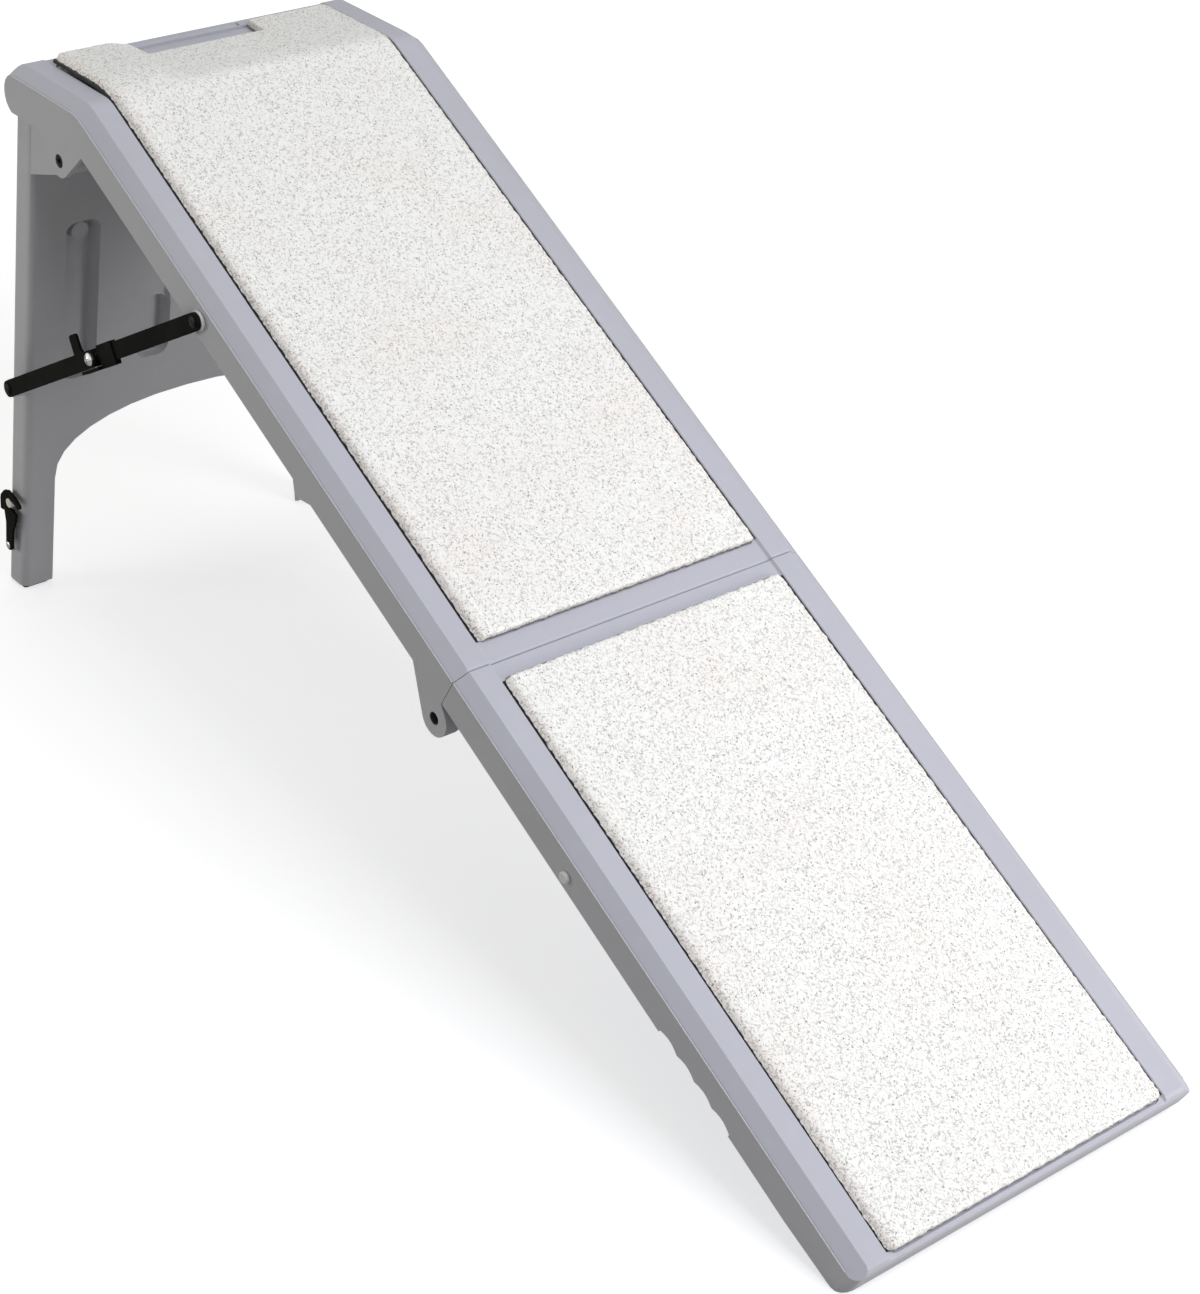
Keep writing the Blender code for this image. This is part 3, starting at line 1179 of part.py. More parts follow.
def panel_stud_place():
    """Place of the lower panel's stud: with all folded it lies in the crook of the hook."""
    hinge_along, hinge_height = deck_place(LEG_PIVOT)
    pivot_along = hinge_along - HOOK_PIVOT_DOWN
    pivot_height = hinge_height + HOOK_PIVOT_FORWARD
    folded_height = PANEL_STUD_DROP - 2 * MID_PIVOT_DROP
    reach_along = math.sqrt(HOOK_REACH ** 2 - (folded_height - pivot_height) ** 2)
    folded_along = pivot_along + reach_along
    return deck(2 * SEAM - folded_along, -PANEL_STUD_DROP)


def stud_shape(centre, base, end):
    """Round stud with a chamfered end."""
    profile = [(0.0, base), (STUD_RADIUS, base), (STUD_RADIUS, end - STUD_CHAMFER),
               (STUD_RADIUS - STUD_CHAMFER, end), (0.0, end)]
    return turned(centre, profile, -1)


def make_pads(material):
    """Rubber pads under the posts, as wide as the posts are at the front and at the rear."""
    outer = HALF - LEG_INSET - PAD_MARGIN
    rear = leg(leg_down_at(PAD_THICKNESS, LEG_FRONT - LEG_THICKNESS), LEG_FRONT - LEG_THICKNESS)[0] + PAD_MARGIN
    front = leg(leg_down_at(PAD_THICKNESS, LEG_FRONT), LEG_FRONT)[0] - PAD_MARGIN
    front_width = LEG_POST_WIDTH - 2 * PAD_MARGIN
    rear_width = front_width - ARCH_DRAFT
    for side, word in ((-1, "near"), (1, "far")):
        outline = [(rear, side * outer), (front, side * outer), (front, side * (outer - front_width)),
                   (rear, side * (outer - rear_width))]
        bm = plan_prism(outline, lambda along, height: (along, height), 0.0, PAD_THICKNESS)
        bevel_edges(bm, PAD_CORNER, 3, lambda edge: edge.verts[0].co.xy == edge.verts[1].co.xy)
        add_object("foot_pad_" + word, bm, material, origin=(LEG_PIVOT[0], 0.0, LEG_PIVOT[1]))


def stand_on_origin():
    """Move everything so that the origin lies under the middle of the ramp's box."""
    bpy.context.view_layer.update()
    depsgraph = bpy.context.evaluated_depsgraph_get()
    low = Vector((math.inf, math.inf, math.inf))
    high = -low
    for item in bpy.data.objects:
        if item.type != "MESH" or item.hide_render:
            continue
        shape = item.evaluated_get(depsgraph)
        for vert in shape.data.vertices:
            place = shape.matrix_world @ vert.co
            low = Vector(map(min, low, place))
            high = Vector(map(max, high, place))
    base = bpy.data.objects.new("ramp_base", None)
    bpy.context.scene.collection.objects.link(base)
    for item in bpy.data.objects:
        if item is not base:
            item.parent = base
    base.location = (-(low.x + high.x) / 2, -(low.y + high.y) / 2, -low.z)
    print("box", tuple(round(value, 4) for value in high - low), "moved by", tuple(base.location))
    return base.location


def main():
    """Build the ramp."""
    remove_old_objects()
    moulding = make_material("moulding", (0.40, 0.40, 0.42), 0.5)
    fibre = make_material("fibre", (0.75, 0.74, 0.72), 0.95)
    rubber = make_material("rubber", (0.03, 0.03, 0.03), 0.8)
    materials = {
        "black": make_material("satin_black", (0.015, 0.015, 0.014), 0.35, 0.5),
        "sleeve": make_material("black_sleeve", (0.01, 0.01, 0.01), 0.5),
        "steel": make_material("zinc", (0.75, 0.75, 0.76), 0.25, 1.0),
        "nylon": make_material("nylon", (0.70, 0.70, 0.68), 0.45),
        "dark": make_material("dark_steel", (0.02, 0.02, 0.02), 0.4, 0.8),
    }
    make_upper_panel(moulding)
    make_lower_panel(moulding)
    make_leg_panel(moulding)
    make_mats(fibre)
    make_toe_strip(rubber)
    make_pads(rubber)
    make_mid_pins(materials["dark"])
    make_leg_bolts(materials["dark"], materials["steel"])
    for side, word in ((-1, "near"), (1, "far")):
        make_brace(side, word, materials)
    make_latch(materials)
    stand_on_origin()


main()
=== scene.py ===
"""Looks of a folding pet ramp: moulded panels, fibre mats, folding braces and a travel hook."""
import logging
import math
from dataclasses import dataclass, field
from enum import Enum
from typing import Callable, Iterable

import bmesh
import bpy
from mathutils import Matrix, Vector, noise


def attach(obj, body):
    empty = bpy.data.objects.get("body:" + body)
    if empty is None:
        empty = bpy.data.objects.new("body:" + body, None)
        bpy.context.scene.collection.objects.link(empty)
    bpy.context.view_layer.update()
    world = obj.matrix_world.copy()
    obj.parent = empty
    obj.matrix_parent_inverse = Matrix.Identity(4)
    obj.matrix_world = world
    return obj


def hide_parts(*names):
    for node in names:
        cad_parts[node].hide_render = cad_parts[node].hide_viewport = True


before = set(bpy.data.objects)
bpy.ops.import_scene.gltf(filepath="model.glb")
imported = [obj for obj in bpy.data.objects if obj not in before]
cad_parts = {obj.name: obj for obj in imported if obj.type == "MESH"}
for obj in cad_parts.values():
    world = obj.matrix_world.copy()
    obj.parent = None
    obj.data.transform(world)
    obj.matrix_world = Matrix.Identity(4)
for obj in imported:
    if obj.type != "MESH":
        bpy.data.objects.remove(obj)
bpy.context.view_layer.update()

LOG = logging.getLogger("pet_ramp")
Colour = tuple[float, float, float]
Place = tuple[float, float, float]
Span = tuple[float, float]
EdgeTest = Callable[[bmesh.types.BMEdge], bool]
Socket = bpy.types.NodeSocket
Material = bpy.types.Material


class Side(Enum):
    """The two long sides of the ramp."""

    NEAR = -1
    FAR = 1

    @property
    def word(self) -> str:
        """Ending of the node names on this side."""
        return self.name.lower()


class Relief(Enum):
    """Kinds of fine surface relief, each with its number of octaves."""

    GRAIN = 4.0
    BRUSHED = 3.0
    PEEL = 1.0


# Shader building


@dataclass(frozen=True)
class Pattern:
    """Noise by its repeats in a metre and its octaves of detail."""

    repeats: float
    octaves: float = 3.0

    def finer(self, ratio: float) -> "Pattern":
        """The same noise with more repeats."""
        return Pattern(self.repeats * ratio, self.octaves)


class NodeSheet:
    """Small helper that adds and links the nodes of one material."""

    def __init__(self, name: str) -> None:
        """Start a material.

        Args:
            name: Name of the material.
        """
        self.material = bpy.data.materials.new(name)
        self.material.use_nodes = True
        self.tree = self.material.node_tree
        self.shader = self.tree.nodes["Principled BSDF"]
        self.place = self.node("TexCoord").outputs["Object"]

    def node(self, kind: str, **settings: object) -> bpy.types.Node:
        """Add a node.

        Args:
            kind: Node type without its ShaderNode prefix.
            settings: Properties of the node, or else values of its sockets, with underscores for spaces.

        Returns:
            The new node.
        """
        made = self.tree.nodes.new("ShaderNode" + kind)
        for key, value in settings.items():
            if hasattr(made, key):
                setattr(made, key, value)
            else:
                made.inputs[key.replace("_", " ")].default_value = value
        return made

    def link(self, source: Socket, target: Socket) -> None:
        """Link two sockets."""
        self.tree.links.new(source, target)

    def attribute(self, name: str) -> Socket:
        """Factor that is stored on a mesh's vertices."""
        return self.node("Attribute", attribute_name=name).outputs["Fac"]

    def noise(self, pattern: Pattern, place: Socket | None = None) -> Socket:
        """Noise between about 0.2 and 0.8.

        Args:
            pattern: Its repeats and octaves.
            place: Coordinates, when they aren't the object's own.

        Returns:
            The factor.
        """
        made = self.node("TexNoise", Scale=pattern.repeats, Detail=pattern.octaves)
        self.link(self.place if place is None else place, made.inputs["Vector"])
        return made.outputs["Fac"]

    def spread(self, source: Socket, low: float, high: float, start: float = 0.3,
               end: float = 0.7) -> Socket:
        """Map a factor to another range.

        Args:
            source: Factor.
            low: Result at start.
            high: Result at end.
            start: Factor that gives low.
            end: Factor that gives high.

        Returns:
            The mapped value.
        """
        made = self.node("MapRange", From_Min=start, From_Max=end, To_Min=low, To_Max=high)
        self.link(source, made.inputs["Value"])
        return made.outputs["Result"]

    def maths(self, operation: str, first: Socket | float, second: Socket | float = 0.0) -> Socket:
        """Arithmetic on sockets or numbers.

        Args:
            operation: Name of the operation.
            first: First value.
            second: Second value.

        Returns:
            The result.
        """
        made = self.node("Math", operation=operation)
        for value, target in zip((first, second), made.inputs):
            if isinstance(value, (int, float)):
                target.default_value = value
            else:
                self.link(value, target)
        return made.outputs["Value"]

    def blend(self, factor: Socket, first: Socket | Colour, second: Socket | Colour) -> Socket:
        """Mix two colours.

        Args:
            factor: Share of the second colour.
            first: First colour.
            second: Second colour.

        Returns:
            The mixed colour.
        """
        made = self.node("Mix", data_type="RGBA")
        self.link(factor, made.inputs["Factor"])
        targets = [socket for socket in made.inputs if socket.type == "RGBA"]
        for value, target in zip((first, second), targets):
            if isinstance(value, tuple):
                target.default_value = (*value, 1.0)
            else:
                self.link(value, target)
        return [socket for socket in made.outputs if socket.type == "RGBA"][0]

    def bump(self, height: Socket, strength: float, depth: float, before: Socket | None = None) -> Socket:
        """Bump from a height.

        Args:
            height: Height factor.
            strength: Strength of the bump.
            depth: Depth in metres.
            before: Normal that the bump is added to.

        Returns:
            The normal.
        """
        made = self.node("Bump", Strength=strength, Distance=depth)
        self.link(height, made.inputs["Height"])
        if before is not None:
            self.link(before, made.inputs["Normal"])
        return made.outputs["Normal"]

    def constant(self, **values: object) -> None:
        """Set sockets of the shader that are the same all over; keys hold underscores for spaces."""
        for key, value in values.items():
            self.shader.inputs[key.replace("_", " ")].default_value = value

    def finish(self, colour: Socket, roughness: Socket, normal: Socket) -> Material:
        """Link the surface.

        Args:
            colour: Base colour.
            roughness: Roughness.
            normal: Normal.

        Returns:
            The finished material.
        """
        self.link(colour, self.shader.inputs["Base Color"])
        self.link(roughness, self.shader.inputs["Roughness"])
        self.link(normal, self.shader.inputs["Normal"])
        return self.material


# Finishes; a range is of the noise, and a bump is a strength with a depth in metres


@dataclass(frozen=True)
class MouldedPlastic:
    """Blow-moulded polyethylene with a fine grain and faint clouds."""

    name: str = "moulded_plastic"
    colour: Colour = (0.495, 0.493, 0.535)
    cloud: Colour = (0.45, 0.448, 0.478)
    cloud_pattern: Pattern = Pattern(7.0, 4.0)
    cloud_share: float = 0.5
    streak: Colour = (0.66, 0.66, 0.69)
    streak_pattern: Pattern = Pattern(55.0, 5.0)
    streak_share: float = 0.08
    streak_range: Span = (0.55, 0.75)
    roughness: Span = (0.42, 0.54)
    roughness_pattern: Pattern = Pattern(40.0, 4.0)
    grain_pattern: Pattern = Pattern(1400.0, 2.0)
    grain_bump: Span = (0.35, 0.00012)
    wave_pattern: Pattern = Pattern(14.0, 1.0)
    wave_bump: Span = (0.10, 0.002)
    gloss: float = 0.3

    def make(self) -> Material:
        """Build the material.

        Returns:
            The material.
        """
        sheet = NodeSheet(self.name)
        cloud = sheet.spread(sheet.noise(self.cloud_pattern), 0.0, self.cloud_share)
        tone = sheet.blend(cloud, self.colour, self.cloud)
        streak = sheet.noise(self.streak_pattern)
        streak = sheet.spread(streak, 0.0, self.streak_share, *self.streak_range)
        tone = sheet.blend(streak, tone, self.streak)
        rough = sheet.spread(sheet.noise(self.roughness_pattern), *self.roughness)
        normal = sheet.bump(sheet.noise(self.grain_pattern), *self.grain_bump)
        normal = sheet.bump(sheet.noise(self.wave_pattern), *self.wave_bump, normal)
        sheet.constant(Specular_IOR_Level=self.gloss)
        return sheet.finish(tone, rough, normal)


@dataclass(frozen=True)
class LoopedFibre:
    """White looped fibre, painted shade in its gaps, pits and side holes; cream cut sides over a black
    backing of painted shadow.
    """

    name: str = "looped_fibre"
    strand: Colour = (0.955, 0.94, 0.885)
    strand_pattern: Pattern = Pattern(800.0)
    warm: Colour = (0.95, 0.91, 0.85)
    warm_pattern: Pattern = Pattern(9.0)
    warm_range: Span = (0.45, 0.65)
    gap_shade: Colour = (0.53, 0.50, 0.45)
    gap_pattern: Pattern = Pattern(210.0, 1.0)
    gap_range: Span = (0.014, 0.042)
    gap_lowest: float = 0.55
    break_ratio: float = 1.7
    break_range: Span = (0.47, 0.54)
    second_gaps: float = 0.37
    pit_shade: Colour = (0.21, 0.19, 0.16)
    pit_repeats: float = 330.0
    pit_radius: Span = (0.16, 0.30)
    pit_choice: Span = (0.78, 0.92)
    cut: Colour = (0.95, 0.875, 0.80)
    cut_pattern: Pattern = Pattern(260.0, 4.0)
    cut_lowest: float = 0.25
    cut_range: Span = (0.42, 0.56)
    # dark specks for the holes in the cut sides: painted shade
    side_hole_shade: Colour = (0.36, 0.31, 0.27)
    side_hole_pattern: Pattern = Pattern(380.0, 2.0)
    side_hole_share: float = 0.8
    side_hole_range: Span = (0.59, 0.68)
    # black for the backing: painted shadow in the slot under the mat's edge
    shadow_backing: Colour = (0.008, 0.008, 0.008)
    roughness: Span = (0.85, 1.0)
    loop_bump: Span = (0.5, 0.0006)
    sheen: float = 0.30
    sheen_roughness: float = 0.5
    gloss: float = 0.2

    def gaps(self, sheet: NodeSheet, shift: float) -> Socket:
        """Short curved gaps between the loops, darkened in the colour as painted shade.

        Args:
            sheet: Sheet of the material.
            shift: Offset that makes another set of gaps.

        Returns:
            Factor, 1 in a gap.
        """
        moved = sheet.node("VectorMath", operation="ADD")
        sheet.link(sheet.place, moved.inputs[0])
        moved.inputs[1].default_value = (shift, 2 * shift, -shift)
        place = moved.outputs["Vector"]
        swirl = sheet.noise(self.gap_pattern, place)
        ridge = sheet.maths("ABSOLUTE", sheet.maths("SUBTRACT", swirl, 0.5))
        line = sheet.spread(ridge, 1.0, 0.0, *self.gap_range)
        ends = sheet.noise(self.gap_pattern.finer(self.break_ratio), place)
        return sheet.maths("MULTIPLY", line, sheet.spread(ends, 0.0, 1.0, *self.break_range))

    def pits(self, sheet: NodeSheet) -> Socket:
        """Few small pits, darkened as painted shade.

        Args:
            sheet: Sheet of the material.

        Returns:
            Factor, 1 in a pit.
        """
        cells = sheet.node("TexVoronoi", feature="F1", Scale=self.pit_repeats, Randomness=1.0)
        sheet.link(sheet.place, cells.inputs["Vector"])
        hole = sheet.spread(cells.outputs["Distance"], 1.0, 0.0, *self.pit_radius)
        parts = sheet.node("SeparateColor")
        sheet.link(cells.outputs["Color"], parts.inputs["Color"])
        picked = sheet.spread(parts.outputs["Red"], 0.0, 1.0, *self.pit_choice)
        return sheet.maths("MULTIPLY", hole, picked)

    def with_cut_sides(self, sheet: NodeSheet, tone: Socket) -> Socket:
        """Add the cream of the cut sides and the painted shade of the holes in them.

        Args:
            sheet: Sheet of the material.
            tone: Colour away from the sides.

        Returns:
            The colour with the sides added.
        """
        edge = sheet.attribute("cut")
        frayed = sheet.noise(self.cut_pattern)
        frayed = sheet.spread(frayed, self.cut_lowest, 1.0, *self.cut_range)
        tone = sheet.blend(sheet.maths("MULTIPLY", edge, frayed), tone, self.cut)
        # painted shade: dark brownish specks for the holes in the cut sides
        side_hole_shade = sheet.noise(self.side_hole_pattern)
        side_hole_shade = sheet.spread(side_hole_shade, 0.0, self.side_hole_share, *self.side_hole_range)
        return sheet.blend(sheet.maths("MULTIPLY", edge, side_hole_shade), tone, self.side_hole_shade)

    def make(self) -> Material:
        """Build the material.

        Returns:
            The material.
        """
        sheet = NodeSheet(self.name)
        first, second = (self.gaps(sheet, shift) for shift in (0.0, self.second_gaps))
        gaps = sheet.maths("MAXIMUM", first, second)
        pits = self.pits(sheet)
        strands = sheet.noise(self.strand_pattern)
        warm = sheet.spread(sheet.noise(self.warm_pattern), 0.0, 1.0, *self.warm_range)
        tone = sheet.blend(warm, self.strand, self.warm)
        tone = self.with_cut_sides(sheet, tone)
        # painted shade: the colour is darkened in the gaps and pits between the loops
        shade = sheet.maths("MULTIPLY", gaps, sheet.spread(strands, self.gap_lowest, 1.0))
        tone = sheet.blend(shade, tone, self.gap_shade)
        tone = sheet.blend(pits, tone, self.pit_shade)
        # painted shadow: the black backing stands for the shadow in the slot under the mat's edge
        tone = sheet.blend(sheet.attribute("shadow_backing"), tone, self.shadow_backing)
        rough = sheet.spread(strands, *self.roughness)
        height = sheet.maths("SUBTRACT", strands, sheet.maths("MAXIMUM", gaps, pits))
        sheet.constant(Sheen_Weight=self.sheen, Sheen_Roughness=self.sheen_roughness,
                       Specular_IOR_Level=self.gloss)
        return sheet.finish(tone, rough, sheet.bump(height, *self.loop_bump))


@dataclass(frozen=True)
class SolidFinish:
    """Paint, metal, rubber or nylon with fine relief and uneven gloss."""

    name: str
    colour: Colour
    shade: Colour
    roughness: Span
    metallic: float = 0.0
    relief: Relief = Relief.GRAIN
    relief_repeats: float = 700.0
    relief_strength: float = 0.3
    relief_depth: float = 0.0001
    brush_stretch: float = 12.0
    patches: Pattern = Pattern(30.0, 4.0)
    patch_range: Span = (0.35, 0.7)
    gloss_ratio: float = 2.7
    gloss: float = 0.5

    def make(self) -> Material:
        """Build the material.

        Returns:
            The material.
        """
        sheet = NodeSheet(self.name)
        patch = sheet.spread(sheet.noise(self.patches), 0.0, 1.0, *self.patch_range)
        tone = sheet.blend(patch, self.colour, self.shade)
        uneven = sheet.noise(self.patches.finer(self.gloss_ratio))
        rough = sheet.spread(uneven, *self.roughness)
        place = sheet.place
        if self.relief is Relief.BRUSHED:
            stretch = sheet.node("Mapping", Scale=(1.0, self.brush_stretch, 1.0))
            sheet.link(place, stretch.inputs["Vector"])
            place = stretch.outputs["Vector"]
        height = sheet.noise(Pattern(self.relief_repeats, self.relief.value), place)
        normal = sheet.bump(height, self.relief_strength, self.relief_depth)
        sheet.constant(Metallic=self.metallic, Specular_IOR_Level=self.gloss)
        return sheet.finish(tone, rough, normal)


class Finishes:
    """All finishes of the ramp, each made once."""

    def __init__(self) -> None:
        """Make the materials."""
        self.plastic = MouldedPlastic().make()
        # parting ridge: a lighter copy of the plastic, painted highlight on the ridge's lit top
        self.parting = MouldedPlastic("parting_line", colour=(0.60, 0.60, 0.61),
                                      cloud=(0.57, 0.57, 0.58)).make()
        # a darker copy of the plastic for the thin line just above the ridge: painted shade
        self.parting_shade = MouldedPlastic("parting_painted_shade", colour=(0.40, 0.40, 0.41),
                                    cloud=(0.36, 0.36, 0.37)).make()
        self.fibre = LoopedFibre().make()
        self.paint = SolidFinish("black_paint", colour=(0.004, 0.004, 0.003), shade=(0.008, 0.008, 0.007),
                                 roughness=(0.42, 0.55), relief=Relief.PEEL, relief_repeats=420.0,
                                 gloss=0.03).make()
        self.zinc = SolidFinish("bright_zinc", colour=(0.74, 0.74, 0.76), shade=(0.58, 0.58, 0.60),
                                roughness=(0.18, 0.34), metallic=1.0, relief=Relief.BRUSHED,
                                relief_repeats=900.0, relief_depth=0.00006, patches=Pattern(90.0, 4.0)).make()
        self.nylon = SolidFinish("grey_nylon", colour=(0.74, 0.74, 0.71), shade=(0.66, 0.66, 0.63),
                                 roughness=(0.35, 0.5)).make()
        self.steel = SolidFinish("blackened_steel", colour=(0.012, 0.012, 0.012),
                                 shade=(0.006, 0.006, 0.006), roughness=(0.3, 0.5), metallic=0.4,
                                 gloss=0.15).make()
        self.rubber = SolidFinish("rubber", colour=(0.022, 0.021, 0.024), shade=(0.04, 0.038, 0.042),
                                  roughness=(0.65, 0.85), relief_repeats=900.0, relief_depth=0.0002).make()


# Shapes


@dataclass(frozen=True)
class RampShape:
    """Sizes of the ramp that the pieces share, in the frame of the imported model."""

    slope: float = math.radians(26.84)
    half_width: float = 0.203
    lower_length: float = 0.6127
    upper_length: float = 0.6939
    platform_length: float = 0.127
    bend_radius: float = 0.025
    parting_at_toe: float = 0.020922
    origin_x: float = 0.682568
    rail_height: float = 0.010
    bevel_width: float = 0.014
    mat_floor: float = 0.0056
    mat_lift: float = 0.006
    mat_lift_radius: float = 0.090

    @property
    def bend(self) -> float:
        """Distance of the bend from the low end."""
        return self.lower_length + self.upper_length

    @property
    def setback(self) -> float:
        """Distance from the bend's corner to where its rounding starts."""
        return self.bend_radius * math.tan(self.slope / 2)

    def deck(self, along: float, height: float) -> Vector:
        """Point of the slope.

        Args:
            along: Distance up from the low end.
            height: Height above the parting plane.

        Returns:
            The point at y = 0.
        """
        x = self.origin_x - along * math.cos(self.slope) + height * math.sin(self.slope)
        z = self.parting_at_toe + along * math.sin(self.slope) + height * math.cos(self.slope)
        return Vector((x, 0.0, z))

    def surface(self, travel: float, height: float) -> Vector:
        """Point of the walking surface, round the bend.

        Args:
            travel: Distance up from the low end, then on over the platform.
            height: Height above the parting plane.

        Returns:
            The point at y = 0.
        """
        arc_length = self.bend_radius * self.slope
        start = self.bend - self.setback
        if travel <= start:
            return self.deck(travel, height)
        level_z = self.parting_at_toe + self.bend * math.sin(self.slope)
        level_x = self.origin_x - self.bend * math.cos(self.slope) - self.setback
        if travel >= start + arc_length:
            return Vector((level_x - (travel - start - arc_length), 0.0, level_z + height))
        angle = math.pi / 2 - self.slope + (travel - start) / self.bend_radius
        reach = self.bend_radius + height
        centre = Vector((level_x, 0.0, level_z - self.bend_radius))
        return centre + Vector((reach * math.cos(angle), 0.0, reach * math.sin(angle)))

    def mat_path(self, travel: float, height: float, lift: float, radius: float) -> Vector:
        """Point of a mat that bends over on to the platform.

        Args:
            travel: Distance up from the low end along the mat.
            height: Height above the path, which is the parting plane on the slope.
            lift: Height of the path over the platform's parting plane.
            radius: Radius of the path at the bend.

        Returns:
            The point at y = 0.
        """
        start = self.bend + (lift - radius * (1 - math.cos(self.slope))) / math.sin(self.slope)
        if travel <= start:
            return self.deck(travel, height)
        turn = (travel - start) / radius
        angle = math.pi / 2 - self.slope + min(turn, self.slope)
        reach = radius + height
        past = max(0.0, turn - self.slope) * radius
        centre = self.deck(start, -radius)
        return centre + Vector((reach * math.cos(angle) - past, 0.0, reach * math.sin(angle)))

    def travel_to_platform(self, inset: float) -> float:
        """Travel from the low end that ends a distance inside the platform's rear edge."""
        flat = self.platform_length - self.setback - inset
        return self.bend - self.setback + self.bend_radius * self.slope + flat

    def height_over_deck(self, point: Vector) -> Span:
        """Distance along the slope and height over its parting plane.

        Args:
            point: Any point.

        Returns:
            Distance along and height.
        """
        x = point.x - self.origin_x
        z = point.z - self.parting_at_toe
        along = -x * math.cos(self.slope) + z * math.sin(self.slope)
        return along, x * math.sin(self.slope) + z * math.cos(self.slope)

    def height_over_platform(self, point: Vector) -> float:
        """Height over the platform's parting plane."""
        return point.z - self.parting_at_toe - self.bend * math.sin(self.slope)

    def height_over_top(self, point: Vector) -> float:
        """Height over whichever parting plane lies under the point."""
        return min(self.height_over_deck(point)[1], self.height_over_platform(point))


def eased(share: float) -> float:
    """Share of a change that starts and ends gently."""
    return share * share * (3 - 2 * share)


def finished_object(name: str, bm: bmesh.types.BMesh, material: Material, body: str,
                    smooth_angle: float = 35.0) -> bpy.types.Object:
    """Make an object from a bmesh and let it ride on a body.

    Args:
        name: Name of the piece.
        bm: Its shape, in place; it is freed.
        material: Its finish.
        body: Body that it rides on.
        smooth_angle: Edges sharper than this stay sharp, in degrees.

    Returns:
        The object.
    """
    mesh = bpy.data.meshes.new(name)
    bm.to_mesh(mesh)
    bm.free()
    mesh.shade_smooth()
    mesh.set_sharp_from_angle(angle=math.radians(smooth_angle))
    mesh.materials.append(material)
    item = bpy.data.objects.new(name, mesh)
    bpy.context.scene.collection.objects.link(item)
    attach(item, body)
    return item


def rounded(bm: bmesh.types.BMesh, wanted: EdgeTest, radius: float, segments: int) -> None:
    """Round the edges that a test accepts."""
    edges = [edge for edge in bm.edges if len(edge.link_faces) == 2 and wanted(edge)]
    bmesh.ops.bevel(bm, geom=edges, offset=radius, offset_type="OFFSET", segments=segments, profile=0.5,
                    affect="EDGES", clamp_overlap=True, material=-1)


@dataclass(frozen=True)
class SoftCopy:
    """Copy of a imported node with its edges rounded, which then stands for the node."""

    node: str
    body: str
    slot: str
    edge_radius: float
    segments: int = 2
    sharp_angle: float = 34.0
    wide_radius: float = 0.0
    wide_segments: int = 4
    wide_test: EdgeTest | None = field(default=None, compare=False)
    merge_distance: float = 0.00002
    flat_angle: float = 0.6
    normal_weight: int = 60

    def make(self, material: Material) -> bpy.types.Object:
        """Build the piece.

        Args:
            material: Its finish.

        Returns:
            The object.
        """
        bm = bmesh.new()
        bm.from_mesh(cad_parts[self.node].data)
        bmesh.ops.remove_doubles(bm, verts=bm.verts, dist=self.merge_distance)
        bmesh.ops.dissolve_limit(bm, angle_limit=math.radians(self.flat_angle), verts=bm.verts,
                                 edges=bm.edges)
        if self.wide_test is not None:
            rounded(bm, self.wide_test, self.wide_radius, self.wide_segments)
        limit = math.radians(self.sharp_angle)
        rounded(bm, lambda edge: edge.calc_face_angle(0.0) > limit, self.edge_radius, self.segments)
        item = finished_object(self.node + "_piece", bm, material, self.body)
        weights = item.modifiers.new("even_normals", "WEIGHTED_NORMAL")
        weights.keep_sharp = True
        weights.weight = self.normal_weight
        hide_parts(self.node)
        LOG.info("made %s", item.name)
        return item


